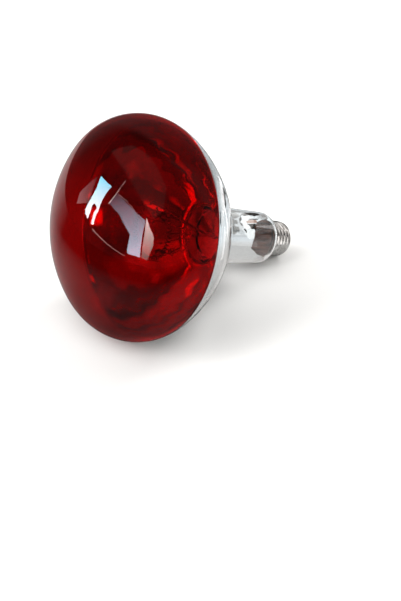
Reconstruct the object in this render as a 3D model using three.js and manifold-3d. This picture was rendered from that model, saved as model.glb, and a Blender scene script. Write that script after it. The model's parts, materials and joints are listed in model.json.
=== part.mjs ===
import * as THREE from "three";
import { mergeVertices } from "three/addons/utils/BufferGeometryUtils.js";
import Module from "manifold-3d";

// Reflector heat lamp, lying on its widest circle and on the thread of its screw cap.
// Millimetres. In the lamp's own frame Z is its axis: the widest circle is at Z = 0, the ruby front
// glass at negative Z, the screw cap at positive Z, and +X is the side that faces the floor.

// Glass envelope
const headDiameter = 125;
const overallLength = 178;
const domeHeight = 38.8;
const domeRounding = 26.6;
const glassWall = 1.3;
const seamPlace = 5;
const bowlDepth = 55.7;
const bowlEndAngleDegrees = 58.8;
const bowlRimPullShare = 0.238;
const bowlNeckPullShare = 0.344;
const neckFrontDiameter = 37.6;
const neckRearDiameter = 36.3;
const neckFillet = 2.4;
const shoulderRounding = 5.6;
const sealDiameter = 20;
const sealLength = 5;

// Clearance between pieces that touch on the real lamp
const seatGap = 0.3;
const cutOverrun = 1;

// Screw cap
const threadDiameter = 26.1;
const threadRootDiameter = 24.3;
const threadPitch = 3.629;
const threadLength = 17.8;
const threadFadeShare = 0.42;
const shellWall = 0.4;
const shellRimDiameter = 26.8;
const shellCollarLength = 1.5;
const shellMouthDiameter = 18.6;
const shellEndDepth = 1.3;
const cementLength = 4.6;
const cementWall = 0.9;
const rimNotchWidth = 1.8;
const rimNotchDepth = 1.5;

// Centre contact
const insulatorFlangeDiameter = 21.4;
const insulatorFlangeThickness = 1.2;
const insulatorNoseDiameter = 12.4;
const insulatorNoseLength = 2.3;
const contactDiameter = 10.4;
const contactThickness = 0.7;
const contactBoreDiameter = 2.2;
const contactRise = 1.1;
const contactSolderDiameter = 5.2;
const contactSolderFlatDiameter = 3;
const sideSolderLength = 1.1;
const sideSolderWidth = 3.4;
const sideSolderRise = 0.8;

// Glass stem
const stemTubeDiameter = 13;
const stemWall = 1;
const stemTubeLength = 16;
const flareLength = 14.5;
const pinchLength = 12;
const pinchWidth = 17;
const pinchThickness = 5;
const pinchSocketDepth = 3;
const pinchSectionShares = [0, 0.1, 0.45, 0.7, 1];
const pinchFlatShare = 0.45;
const pinchCornerPower = 0.5;
const exhaustDiameter = 5;
const exhaustWall = 0.8;
const exhaustTail = 8;
const exhaustTipLength = 3.5;
const rodDiameter = 3.2;
const rodLength = 31;
const buttonDiameter = 6.4;
const buttonLength = 4.4;

// Mica disc and its eyelets
const deflectorDiameter = 31.6;
const deflectorThickness = 0.4;
const deflectorStandOff = 8;
const eyeletDiameter = 3.4;
const eyeletLength = 1.3;

// Leads
const innerLeadDiameter = 1;
const innerLeadSpacing = 10;
const innerLeadStraight = 14;
const outerLeadDiameter = 0.7;
const outerLeadSpacing = 8;

// Filament and its supports
const filamentPlace = 14;
const filamentRingDiameter = 31;
const filamentGap = 19;
const coilMeanDiameter = 2.4;
const coilPitch = 2.2;
const filamentWireDiameter = 0.5;
const supportDiameter = 0.5;
const supportCount = 4;

// Fineness of the faceted surfaces
const glassSides = 36;
const capSides = 32;
const smallSides = 24;
const wireSides = 6;
const domeSteps = 6;
const buttonSteps = 6;
const roundingSteps = 5;
const bowlSteps = 8;
const filletSteps = 3;
const threadRowsPerTurn = 6;
const wireSteps = 14;
const hookSteps = 8;
const coilStepsPerTurn = 8;
const coilWireSides = 5;

const headRadius = headDiameter / 2;
const neckFrontRadius = neckFrontDiameter / 2;
const neckRearRadius = neckRearDiameter / 2;
const sealRadius = sealDiameter / 2;

// Places along the axis, from the centre contact forwards; the neck takes the length that is left
const lampEnd = overallLength - domeHeight;
const plateEnd = lampEnd - contactRise;
const plateStart = plateEnd - contactThickness;
const insulatorEnd = plateStart - seatGap;
const shellEnd = insulatorEnd - insulatorNoseLength;
const threadEnd = shellEnd - shellEndDepth;
const threadStart = threadEnd - threadLength;
const shellStart = threadStart - shellCollarLength;
const shoulderEnd = shellStart - seatGap;
const sealEnd = shoulderEnd + sealLength;
const neckEnd = shoulderEnd - shoulderRounding;

const point = (radius, along) => new THREE.Vector2(radius, along);
const group = new THREE.Group();
const turned = new THREE.Group();
group.add(turned);

function addPiece(name, geometry, colour, roughness, metalness, opacity = 1) {
  const material = new THREE.MeshStandardMaterial({ color: colour, roughness, metalness });
  if (opacity < 1) {
    material.transparent = true;
    material.opacity = opacity;
  }
  const mesh = new THREE.Mesh(geometry, material);
  mesh.name = name;
  turned.add(mesh);
  return mesh;
}

// Turns a profile of (radius, Z) points round the lamp's axis, with a flat side towards +X
function revolve(profile, sides) {
  const lathe = new THREE.LatheGeometry(profile, sides, Math.PI / sides);
  return lathe.rotateX(Math.PI / 2);
}

// Points of a circular arc in the profile plane, from one angle to another
function arc(centre, radius, from, to, steps) {
  return Array.from({ length: steps + 1 }, (_, i) => {
    const angle = from + ((to - from) * i) / steps;
    return point(centre.x + radius * Math.sin(angle), centre.y - radius * Math.cos(angle));
  });
}

// Rounds the corner of two straight runs with a tangent curve of about the given radius
function fillet(before, corner, after, radius, steps) {
  const inward = before.clone().sub(corner).normalize();
  const outward = after.clone().sub(corner).normalize();
  const reach = radius * Math.tan((Math.PI - Math.acos(inward.dot(outward))) / 2);
  const start = corner.clone().addScaledVector(inward, reach);
  const end = corner.clone().addScaledVector(outward, reach);
  return new THREE.QuadraticBezierCurve(start, corner, end).getPoints(steps);
}

// The same line moved inwards by a wall, square to the line at each point
function offset(profile, wall) {
  return profile.map((p, i) => {
    const before = profile[Math.max(i - 1, 0)];
    const after = profile[Math.min(i + 1, profile.length - 1)];
    const along = after.clone().sub(before).normalize();
    const moved = point(p.x - along.y * wall, p.y + along.x * wall);
    return p.x === 0 ? point(0, moved.y) : moved;
  });
}

// A wall of even thickness: the outer line, and the inner line back to the start
function wallProfile(outer, wall) {
  const inner = offset(outer, wall).reverse();
  const closed = [...outer, ...inner];
  if (outer[0].x > 0) closed.push(outer[0].clone());
  return closed;
}

// Envelope profile: shallow dome, rounded edge, then a bowl curve that ends steeply at the neck
const domeRadius =
  (domeHeight ** 2 + (headRadius - domeRounding) ** 2 - domeRounding ** 2) /
  (2 * (domeHeight - domeRounding));
const domeCentre = point(0, domeRadius - domeHeight);
const roundingCentre = point(headRadius - domeRounding, 0);
const tangentAngle = Math.atan2(roundingCentre.x, domeCentre.y);
const bowlChord = Math.hypot(bowlDepth, headRadius - neckFrontRadius);
const bowlEndAngle = THREE.MathUtils.degToRad(bowlEndAngleDegrees);
const bowlCurve = new THREE.CubicBezierCurve(
  point(headRadius, 0),
  point(headRadius, bowlRimPullShare * bowlChord),
  point(
    neckFrontRadius + Math.sin(bowlEndAngle) * bowlNeckPullShare * bowlChord,
    bowlDepth - Math.cos(bowlEndAngle) * bowlNeckPullShare * bowlChord,
  ),
  point(neckFrontRadius, bowlDepth),
);

// Share of the bowl curve at which it has come a given distance along the axis
function bowlShareAt(along) {
  let low = 0;
  let high = 1;
  for (let i = 0; i < 40; i++) {
    const middle = (low + high) / 2;
    if (bowlCurve.getPoint(middle).y < along) low = middle;
    else high = middle;
  }
  return low;
}

function bowlStretch(from, to, steps) {
  return Array.from({ length: steps + 1 }, (_, i) => bowlCurve.getPoint(from + ((to - from) * i) / steps));
}

function frontLens() {
  const dome = arc(domeCentre, domeRadius, 0, tangentAngle, domeSteps);
  const rounding = arc(roundingCentre, domeRounding, tangentAngle, Math.PI / 2, roundingSteps);
  const skirt = bowlStretch(0, bowlShareAt(seamPlace - seatGap / 2), 1);
  const outer = [...dome, ...rounding.slice(1), ...skirt.slice(1)];
  return revolve(wallProfile(outer, glassWall), glassSides);
}

function reflectorBowl() {
  const bowl = bowlStretch(bowlShareAt(seamPlace + seatGap / 2), 1, bowlSteps);
  const neckStart = bowl.pop();
  const neckTurn = fillet(bowl.at(-1), neckStart, point(neckRearRadius, neckEnd), neckFillet, filletSteps);
  const shoulder = arc(
    point(neckRearRadius - shoulderRounding, neckEnd),
    shoulderRounding,
    Math.PI / 2,
    Math.PI,
    roundingSteps,
  ).slice(0, -1);
  const sealTurn = fillet(
    shoulder.at(-1),
    point(sealRadius, shoulderEnd),
    point(sealRadius, sealEnd),
    glassWall,
    1,
  );
  const outer = [...bowl, ...neckTurn, ...shoulder, ...sealTurn, point(sealRadius, sealEnd)];
  return revolve(wallProfile(outer, glassWall), glassSides);
}

// A mesh with shared vertices and without faces that have shrunk to a line
function closedMesh(positions, triangles) {
  const raw = new THREE.BufferGeometry();
  raw.setAttribute("position", new THREE.Float32BufferAttribute(positions, 3));
  raw.setIndex(triangles);
  const merged = mergeVertices(raw);
  const index = merged.index.array;
  const kept = [];
  for (let i = 0; i < index.length; i += 3) {
    const [a, b, c] = index.slice(i, i + 3);
    if (a !== b && b !== c && c !== a) kept.push(a, b, c);
  }
  merged.setIndex(kept);
  merged.computeVertexNormals();
  return merged;
}

// Screw shell: its sheet is rolled into a round thread whose crests climb one pitch in each turn
const threadMeanRadius = (threadDiameter + threadRootDiameter) / 4;
const threadSwing = (threadDiameter - threadRootDiameter) / 4;
const threadFade = threadFadeShare * threadPitch;
const lastCrest = threadEnd - threadFade;
const shellMouthRadius = shellMouthDiameter / 2;
// The widest place of the collar and the thread's first turn, on which the side lead is soldered
const collarReach = Math.max(shellRimDiameter, threadDiameter) / 2;

function threadRadius(turn, along) {
  const rise = THREE.MathUtils.smoothstep(along, threadStart, threadStart + threadFade);
  const fall = 1 - THREE.MathUtils.smoothstep(along, threadEnd - threadFade, threadEnd);
  const wave = Math.cos(2 * Math.PI * ((along - lastCrest) / threadPitch - turn));
  return threadMeanRadius + threadSwing * wave * rise * fall;
}

function capShell() {
  const positions = [];
  const triangles = [];
  const rowPitch = threadPitch / threadRowsPerTurn;
  const firstRow = -Math.ceil((lastCrest - threadStart) / rowPitch) - threadRowsPerTurn;
  const lastRow = Math.ceil(threadFade / rowPitch) + threadRowsPerTurn;
  const vertexAt = (side, radius, along) => {
    const turn = (side + 0.5) / capSides;
    const angle = turn * 2 * Math.PI;
    positions.push(radius * Math.cos(angle), radius * Math.sin(angle), along);
    return positions.length / 3 - 1;
  };
  // A flat ring of vertices round the axis
  const ring = (radius, along) => Array.from({ length: capSides }, (_, i) => vertexAt(i, radius, along));
  // A row that runs along the helix, row 0 on the crest; past either end of the thread it stays there
  const helixRow = (row, wall) =>
    Array.from({ length: capSides }, (_, i) => {
      const turn = (i + 0.5) / capSides;
      let along = lastCrest + (row + turn * threadRowsPerTurn) * rowPitch;
      if (along < threadStart + rowPitch / 2) along = threadStart;
      if (along > threadEnd - rowPitch / 2) along = threadEnd;
      return vertexAt(i, threadRadius(turn, along) - wall, along);
    });
  const quad = (a, b, c, d, outward) => {
    if (outward) triangles.push(a, b, c, a, c, d);
    else triangles.push(a, c, b, a, d, c);
  };
  const joinRings = (low, high, outward = true) => {
    low.forEach((_, i) => {
      const next = (i + 1) % capSides;
      quad(low[i], low[next], high[next], high[i], outward);
    });
  };
  // After a full turn a helix row carries on as the row one pitch further along
  const threadedWall = (wall, outward) => {
    const rows = [];
    for (let row = firstRow; row <= lastRow; row++) rows.push(helixRow(row, wall));
    for (let row = 0; row + 1 < rows.length; row++) {
      for (let i = 0; i < capSides; i++) {
        const wraps = i === capSides - 1;
        const onward = wraps ? row + threadRowsPerTurn : row;
        if (onward + 1 >= rows.length) continue;
        const next = wraps ? 0 : i + 1;
        quad(rows[row][i], rows[onward][next], rows[onward + 1][next], rows[row + 1][i], outward);
      }
    }
  };
  threadedWall(0, true);
  threadedWall(shellWall, false);
  const rimRadius = shellRimDiameter / 2;
  const collarEnd = threadStart;
  const outerRim = ring(rimRadius, shellStart);
  const outerCollar = ring(rimRadius, shellStart + shellCollarLength / 2);
  const innerRim = ring(rimRadius - shellWall, shellStart);
  const innerCollar = ring(rimRadius - shellWall, shellStart + shellCollarLength / 2);
  const outerEnd = ring(shellMouthRadius, shellEnd);
  const innerEnd = ring(shellMouthRadius, shellEnd - shellWall);
  joinRings(innerRim, outerRim);
  joinRings(outerRim, outerCollar);
  joinRings(outerCollar, ring(threadMeanRadius, collarEnd));
  joinRings(innerRim, innerCollar, false);
  joinRings(innerCollar, ring(threadMeanRadius - shellWall, collarEnd), false);
  joinRings(ring(threadMeanRadius, threadEnd), outerEnd);
  joinRings(ring(threadMeanRadius - shellWall, threadEnd), innerEnd, false);
  joinRings(innerEnd, outerEnd, false);
  return closedMesh(positions, triangles);
}

const wasm = await Module();
wasm.setup();

function toSolid(geometry) {
  const bare = geometry.clone();
  bare.deleteAttribute("normal");
  bare.deleteAttribute("uv");
  const merged = mergeVertices(bare);
  const vertProperties = merged.attributes.position.array;
  const triVerts = Uint32Array.from(merged.index.array);
  return new wasm.Manifold(new wasm.Mesh({ numProp: 3, vertProperties, triVerts }));
}

function cutAway(geometry, tools) {
  const left = tools.reduce((solid, tool) => solid.subtract(toSolid(tool)), toSolid(geometry));
  const { vertProperties, triVerts } = left.getMesh();
  const result = new THREE.BufferGeometry();
  result.setAttribute("position", new THREE.BufferAttribute(vertProperties, 3));
  result.setIndex(new THREE.BufferAttribute(triVerts, 1));
  result.computeVertexNormals();
  return result;
}

// A round bar along Z between two places
function bar(radius, from, to, sides, x = 0, y = 0) {
  const length = to - from;
  const cylinder = new THREE.CylinderGeometry(radius, radius, length, sides);
  return cylinder.rotateX(Math.PI / 2).translate(x, y, (from + to) / 2);
}

function slottedShell() {
  const reach = shellRimDiameter / 2;
  const notch = new THREE.BoxGeometry(rimNotchWidth, reach, rimNotchDepth + cutOverrun);
  notch.translate(0, reach, shellStart + (rimNotchDepth - cutOverrun) / 2);
  return cutAway(capShell(), [notch]);
}

// Basing cement: fills the rim of the shell round the seal end, with a slot for the side lead
const shellInnerRootRadius = threadRootDiameter / 2 - shellWall;
const cementStart = shellStart + seatGap;
const cementInnerRadius = sealRadius + seatGap;
const cementOuterRadius = shellInnerRootRadius - seatGap;
const sideLeadRadius = shellInnerRootRadius - seatGap - outerLeadDiameter / 2;

function capCement() {
  const rimRadius = shellRimDiameter / 2 - shellWall - seatGap;
  const collarEnd = shellStart + shellCollarLength / 2;
  const profile = [
    point(rimRadius, cementStart),
    point(rimRadius, collarEnd),
    point(cementOuterRadius, collarEnd + cementWall),
    point(cementOuterRadius, cementStart + cementLength),
    point(cementInnerRadius, cementStart + cementLength),
    point(cementInnerRadius, cementStart + glassWall),
    point(cementInnerRadius + glassWall / 2, cementStart),
    point(rimRadius, cementStart),
  ];
  const slotDepth = rimRadius - sideLeadRadius + outerLeadDiameter / 2 + seatGap;
  const slot = new THREE.BoxGeometry(
    outerLeadDiameter + 2 * seatGap,
    slotDepth + cutOverrun,
    cementLength + 2 * cutOverrun,
  );
  slot.translate(0, rimRadius - slotDepth / 2 + cutOverrun / 2, cementStart + cementLength / 2);
  return cutAway(revolve(profile, smallSides), [slot]);
}

// Centre contact: solder button on a brass plate, on the nose of the black glass ring
const contactBore = contactBoreDiameter / 2;

function capInsulator() {
  const flangeEnd = threadEnd - seatGap;
  const waist = shellMouthRadius - seatGap;
  return revolve(
    [
      point(contactBore, flangeEnd - insulatorFlangeThickness),
      point(insulatorFlangeDiameter / 2, flangeEnd - insulatorFlangeThickness),
      point(insulatorFlangeDiameter / 2, flangeEnd),
      point(waist, flangeEnd),
      point(waist, shellEnd),
      point(insulatorNoseDiameter / 2, insulatorEnd),
      point(contactBore, insulatorEnd),
      point(contactBore, flangeEnd - insulatorFlangeThickness),
    ],
    smallSides,
  );
}

function contactPlate() {
  const radius = contactDiameter / 2;
  return revolve(
    [
      point(contactBore, plateStart),
      point(radius, plateStart),
      point(radius, plateEnd - contactThickness / 2),
      point(radius - contactThickness / 2, plateEnd),
      point(contactBore, plateEnd),
      point(contactBore, plateStart),
    ],
    smallSides,
  );
}

function contactSolder() {
  const start = plateEnd + seatGap;
  const rise = lampEnd - start;
  return revolve(
    [
      point(0, start),
      point(contactSolderDiameter / 2, start),
      point(contactSolderDiameter / 2, start + rise / 3),
      point(contactSolderFlatDiameter / 2, lampEnd),
      point(0, lampEnd),
    ],
    smallSides,
  );
}

// Solder bead over the notch in the shell's rim
function sideSolder() {
  const seat = collarReach + seatGap;
  const dome = new THREE.SphereGeometry(1, wireSides * 2, wireSides, 0, 2 * Math.PI, 0, Math.PI / 2);
  dome.scale(sideSolderWidth / 2, sideSolderRise, sideSolderLength);
  const base = new THREE.CircleGeometry(1, wireSides * 2).rotateX(Math.PI / 2);
  base.scale(sideSolderWidth / 2, 1, sideSolderLength);
  const positions = [...dome.attributes.position.array, ...base.attributes.position.array];
  const shift = dome.attributes.position.count;
  const triangles = [...dome.index.array, ...base.index.array.map((i) => i + shift)];
  return closedMesh(positions, triangles).translate(0, seat, shellStart + sideSolderLength);
}

// Stem: flare, press, exhaust tube, rod and bead, counted forwards from the sealed end of the neck
const stemRadius = stemTubeDiameter / 2;
const flareEnd = sealEnd;
const flareRadius = sealRadius - glassWall - seatGap;
const flareThroat = flareEnd - flareLength;
const stemStart = flareThroat - stemTubeLength;
const pinchEnd = stemStart - seatGap;
const pinchStart = pinchEnd - pinchLength;

function stemFlare() {
  const bell = new THREE.QuadraticBezierCurve(
    point(stemRadius, flareThroat),
    point(stemRadius, flareEnd - flareLength / 3),
    point(flareRadius, flareEnd),
  );
  const outer = [point(stemRadius, stemStart), ...bell.getPoints(roundingSteps)];
  return revolve(wallProfile(outer, stemWall), smallSides);
}

// The press: round where it leaves the tube, squeezed flat and wide towards the front
function stemPinch() {
  const positions = [];
  const triangles = [];
  pinchSectionShares.forEach((share) => {
    const round = THREE.MathUtils.smoothstep(share, pinchFlatShare, 1);
    const edge = share === 0 ? pinchThickness / 4 : 0;
    const halfThickness = THREE.MathUtils.lerp(pinchThickness / 2, stemRadius, round) - edge / 2;
    const halfWidth = THREE.MathUtils.lerp(pinchWidth / 2, stemRadius, round) - edge;
    const squareness = THREE.MathUtils.lerp(pinchCornerPower, 1, round);
    for (let i = 0; i < smallSides; i++) {
      const angle = (2 * Math.PI * (i + 0.5)) / smallSides;
      const across = Math.sign(Math.cos(angle)) * Math.abs(Math.cos(angle)) ** squareness;
      const sideways = Math.sign(Math.sin(angle)) * Math.abs(Math.sin(angle)) ** squareness;
      positions.push(halfThickness * across, halfWidth * sideways, pinchStart + share * pinchLength);
    }
  });
  for (let level = 0; level + 1 < pinchSectionShares.length; level++) {
    for (let i = 0; i < smallSides; i++) {
      const a = level * smallSides + i;
      const b = level * smallSides + ((i + 1) % smallSides);
      triangles.push(a, b, b + smallSides, a, b + smallSides, a + smallSides);
    }
  }
  const front = positions.length / 3;
  positions.push(0, 0, pinchStart, 0, 0, pinchEnd);
  const lastLevel = (pinchSectionShares.length - 1) * smallSides;
  for (let i = 0; i < smallSides; i++) {
    const next = (i + 1) % smallSides;
    triangles.push(front, next, i, front + 1, lastLevel + i, lastLevel + next);
  }
  const frontSocket = (radius, y) =>
    bar(radius + seatGap, pinchStart - cutOverrun, pinchStart + pinchSocketDepth, wireSides * 2, 0, y);
  const rearSocket = (y) =>
    bar(
      outerLeadDiameter / 2 + seatGap,
      pinchEnd - pinchSocketDepth,
      pinchEnd + cutOverrun,
      wireSides * 2,
      0,
      y,
    );
  return cutAway(closedMesh(positions, triangles), [
    frontSocket(rodDiameter / 2, 0),
    frontSocket(innerLeadDiameter / 2, innerLeadSpacing / 2),
    frontSocket(innerLeadDiameter / 2, -innerLeadSpacing / 2),
    rearSocket(outerLeadSpacing / 2),
    rearSocket(-outerLeadSpacing / 2),
  ]);
}

function exhaustTube() {
  const radius = exhaustDiameter / 2;
  const bore = radius - exhaustWall;
  const start = pinchEnd + seatGap;
  const end = sealEnd + exhaustTail;
  const neck = end - exhaustTipLength;
  return revolve(
    [
      point(0, end - 2 * exhaustWall),
      point(bore, neck),
      point(bore, start),
      point(radius, start),
      point(radius, neck),
      point(radius / 2, end - exhaustTipLength / 4),
      point(0, end),
    ],
    wireSides * 2,
  );
}

const frontSocketEnd = pinchStart + pinchSocketDepth - seatGap;
const rodStart = pinchStart - rodLength;
const buttonEnd = rodStart - seatGap;
const buttonStart = buttonEnd - buttonLength;
const buttonMiddle = (buttonStart + buttonEnd) / 2;

function arborButton() {
  const profile = Array.from({ length: buttonSteps + 1 }, (_, i) => {
    const angle = (Math.PI * i) / buttonSteps;
    const radius = i === 0 || i === buttonSteps ? 0 : (buttonDiameter / 2) * Math.sin(angle);
    return point(radius, buttonMiddle - (buttonLength / 2) * Math.cos(angle));
  });
  return revolve(profile, wireSides * 2);
}

const deflectorEnd = pinchStart - deflectorStandOff;
const deflectorStart = deflectorEnd - deflectorThickness;

function heatDeflector() {
  const hole = (radius, y) =>
    bar(
      radius + seatGap,
      deflectorStart - cutOverrun,
      deflectorEnd + cutOverrun,
      wireSides * 2,
      0,
      y,
    );
  const disc = bar(deflectorDiameter / 2, deflectorStart, deflectorEnd, glassSides);
  return cutAway(disc, [
    hole(rodDiameter / 2, 0),
    hole(innerLeadDiameter / 2, innerLeadSpacing / 2),
    hole(innerLeadDiameter / 2, -innerLeadSpacing / 2),
  ]);
}

function deflectorEyelet(y) {
  const start = deflectorEnd + seatGap;
  const end = start + eyeletLength;
  const bore = innerLeadDiameter / 2 + seatGap;
  const profile = [
    point(eyeletDiameter / 2, start),
    point(eyeletDiameter / 2, start + eyeletLength / 3),
    point(bore + seatGap, end),
    point(bore, end),
    point(bore, start),
    point(eyeletDiameter / 2, start),
  ];
  return revolve(profile, wireSides * 2).translate(0, y, 0);
}

// A wire of round section along a smooth line through the given points
function wire(points, diameter, steps) {
  const section = new THREE.Shape(
    Array.from({ length: wireSides }, (_, i) => {
      const angle = (2 * Math.PI * i) / wireSides;
      return point((diameter / 2) * Math.cos(angle), (diameter / 2) * Math.sin(angle));
    }),
  );
  const extrudePath = new THREE.CatmullRomCurve3(points, false, "centripetal");
  return new THREE.ExtrudeGeometry(section, { steps, bevelEnabled: false, extrudePath });
}

// Filament: a coil carried round an open circle. Its ends rise straight towards the two leads.
const filamentRingRadius = filamentRingDiameter / 2;
const filamentGapAngle = Math.asin(filamentGap / filamentRingDiameter);
const filamentStart = Math.PI + filamentGapAngle;
const filamentSweep = 2 * (Math.PI - filamentGapAngle);
const coilRadius = coilMeanDiameter / 2;
const coilTurns = Math.round((filamentSweep * filamentRingRadius) / coilPitch) + 0.5;
const filamentLeg = coilMeanDiameter;

function coilPoint(share) {
  const around = filamentStart + filamentSweep * share;
  const turn = Math.PI + 2 * Math.PI * coilTurns * share;
  const radius = filamentRingRadius + coilRadius * Math.cos(turn);
  return new THREE.Vector3(
    radius * Math.cos(around),
    radius * Math.sin(around),
    filamentPlace + coilRadius * Math.sin(turn),
  );
}

function filamentLine() {
  const count = Math.round(coilTurns * coilStepsPerTurn);
  const coil = Array.from({ length: count + 1 }, (_, i) => coilPoint(i / count));
  const leg = new THREE.Vector3(0, 0, filamentLeg);
  return [coil[0].clone().add(leg), ...coil, coil.at(-1).clone().add(leg)];
}

// A closed tube with one ring of vertices at each point; each ring is turned as little as possible
function tubeThrough(points, radius, sides) {
  const positions = [];
  const triangles = [];
  let normal = new THREE.Vector3(1, 0, 0);
  points.forEach((p, i) => {
    const before = points[Math.max(i - 1, 0)];
    const after = points[Math.min(i + 1, points.length - 1)];
    const tangent = after.clone().sub(before).normalize();
    normal = normal.addScaledVector(tangent, -normal.dot(tangent)).normalize();
    const binormal = tangent.clone().cross(normal);
    for (let k = 0; k < sides; k++) {
      const angle = (2 * Math.PI * k) / sides;
      const rim = p
        .clone()
        .addScaledVector(normal, radius * Math.cos(angle))
        .addScaledVector(binormal, radius * Math.sin(angle));
      positions.push(rim.x, rim.y, rim.z);
    }
  });
  for (let i = 0; i + 1 < points.length; i++) {
    for (let k = 0; k < sides; k++) {
      const a = i * sides + k;
      const b = i * sides + ((k + 1) % sides);
      triangles.push(a, b, b + sides, a, b + sides, a + sides);
    }
  }
  const last = (points.length - 1) * sides;
  for (let k = 1; k + 1 < sides; k++) {
    triangles.push(0, k + 1, k, last, last + k, last + k + 1);
  }
  return closedMesh(positions, triangles);
}

// Least free gap between stretches of the filament that lie half a turn or more apart
function leastCoilGap(points) {
  const apart = coilStepsPerTurn / 2;
  let least = Infinity;
  for (let i = 0; i < points.length; i++) {
    for (let j = i + apart; j < points.length; j++) {
      least = Math.min(least, points[i].distanceTo(points[j]));
    }
  }
  return least - filamentWireDiameter;
}

const filamentPoints = filamentLine();
const coilGap = leastCoilGap(filamentPoints).toFixed(2);
console.log(`filament: ${coilTurns} turns, least gap to itself ${coilGap} mm`);

// An inner lead: straight out of the press, then leaning to its end of the filament
function innerLead(side, filamentEnd) {
  const straightEnd = pinchStart - innerLeadStraight;
  const y = (side * innerLeadSpacing) / 2;
  const tip = filamentEnd.z + seatGap;
  return wire(
    [
      new THREE.Vector3(0, y, frontSocketEnd),
      new THREE.Vector3(0, y, pinchStart),
      new THREE.Vector3(0, y, (pinchStart + straightEnd) / 2),
      new THREE.Vector3(0, y, straightEnd),
      new THREE.Vector3(filamentEnd.x, filamentEnd.y, tip + 2 * filamentLeg),
      new THREE.Vector3(filamentEnd.x, filamentEnd.y, tip),
    ],
    innerLeadDiameter,
    wireSteps,
  );
}

const rearSocketStart = pinchEnd - pinchSocketDepth + seatGap;
const leadTurnRadius = outerLeadDiameter * 2;

// The side lead runs back over the seal end, forwards through the cement and out at the rim
function outerLeadSide() {
  const y = outerLeadSpacing / 2;
  const behindSeal = cementStart + cementLength + leadTurnRadius;
  const exit = shellStart + rimNotchDepth / 2;
  const overSeal = (y + sideLeadRadius) / 2;
  return wire(
    [
      new THREE.Vector3(0, y, rearSocketStart),
      new THREE.Vector3(0, y, (rearSocketStart + sealEnd) / 2),
      new THREE.Vector3(0, y, sealEnd),
      new THREE.Vector3(0, y + leadTurnRadius, behindSeal),
      new THREE.Vector3(0, overSeal, behindSeal + leadTurnRadius / 2),
      new THREE.Vector3(0, sideLeadRadius - leadTurnRadius, behindSeal),
      new THREE.Vector3(0, sideLeadRadius, cementStart + cementLength),
      new THREE.Vector3(0, sideLeadRadius, exit + leadTurnRadius),
      new THREE.Vector3(0, sideLeadRadius + leadTurnRadius / 2, exit),
      new THREE.Vector3(0, collarReach, exit),
    ],
    outerLeadDiameter,
    3 * wireSteps,
  );
}

// The centre lead passes the tip of the exhaust tube and ends in the bore of the contact
function outerLeadCentre() {
  const y = -outerLeadSpacing / 2;
  const tubeTip = sealEnd + exhaustTail;
  const boreStart = threadEnd - insulatorFlangeThickness - leadTurnRadius;
  return wire(
    [
      new THREE.Vector3(0, y, rearSocketStart),
      new THREE.Vector3(0, y, (rearSocketStart + tubeTip) / 2),
      new THREE.Vector3(0, y, tubeTip - exhaustTipLength),
      new THREE.Vector3(0, y / 2, tubeTip + leadTurnRadius),
      new THREE.Vector3(0, 0, boreStart),
      new THREE.Vector3(0, 0, insulatorEnd),
      new THREE.Vector3(0, 0, plateEnd),
    ],
    outerLeadDiameter,
    2 * wireSteps,
  );
}

// A support leaves the bead, leans out to the coil and hooks round its front
function filamentSupport(number) {
  const around = filamentStart + (filamentSweep * (number + 0.5)) / supportCount;
  const place = (radius, along) =>
    new THREE.Vector3(radius * Math.cos(around), radius * Math.sin(around), along);
  const hookRadius = coilRadius + (filamentWireDiameter + supportDiameter) / 2 + seatGap;
  const root = buttonDiameter / 2 + seatGap;
  const hook = Array.from({ length: 5 }, (_, i) => {
    const angle = Math.PI * (1 + i / 4);
    return place(
      filamentRingRadius + hookRadius * Math.cos(angle),
      filamentPlace + hookRadius * Math.sin(angle),
    );
  });
  return wire(
    [
      place(root, buttonMiddle),
      place(root + hookRadius, buttonMiddle - hookRadius / 2),
      place(filamentRingRadius - hookRadius, filamentPlace + 4 * hookRadius),
      place(filamentRingRadius - hookRadius, filamentPlace + hookRadius),
      ...hook,
      place(filamentRingRadius + hookRadius, filamentPlace + hookRadius),
    ],
    supportDiameter,
    2 * hookSteps,
  );
}

addPiece("front_lens", frontLens(), 0x8c0a12, 0.05, 0, 0.85);
addPiece("reflector_bowl", reflectorBowl(), 0xc9cbcd, 0.1, 0.9);
addPiece("cap_shell", slottedShell(), 0xb9b6ae, 0.3, 0.9);
addPiece("cap_cement", capCement(), 0x5a4038, 0.9, 0);
addPiece("cap_insulator", capInsulator(), 0x17161a, 0.2, 0);
addPiece("contact_plate", contactPlate(), 0xb08d4c, 0.35, 0.9);
addPiece("contact_solder", contactSolder(), 0xa9abac, 0.4, 0.8);
addPiece("side_solder", sideSolder(), 0xa9abac, 0.4, 0.8);
addPiece("stem_flare", stemFlare(), 0xd5dcdc, 0.05, 0, 0.5);
addPiece("stem_pinch", stemPinch(), 0xd5dcdc, 0.1, 0, 0.6);
addPiece("exhaust_tube", exhaustTube(), 0xd5dcdc, 0.05, 0, 0.5);
const rod = bar(rodDiameter / 2, rodStart, frontSocketEnd, wireSides * 2);
addPiece("arbor_rod", rod, 0xd5dcdc, 0.05, 0, 0.6);
addPiece("arbor_button", arborButton(), 0xd5dcdc, 0.05, 0, 0.6);
addPiece("heat_deflector", heatDeflector(), 0x7a5f46, 0.5, 0);
addPiece("deflector_eyelet_a", deflectorEyelet(-innerLeadSpacing / 2), 0x9c9a94, 0.4, 0.9);
addPiece("deflector_eyelet_b", deflectorEyelet(innerLeadSpacing / 2), 0x9c9a94, 0.4, 0.9);
addPiece("lead_wire_inner_a", innerLead(-1, filamentPoints[0]), 0x9c9a94, 0.35, 0.9);
addPiece("lead_wire_inner_b", innerLead(1, filamentPoints.at(-1)), 0x9c9a94, 0.35, 0.9);
addPiece("lead_wire_outer_a", outerLeadSide(), 0xa8704c, 0.35, 0.9);
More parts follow.
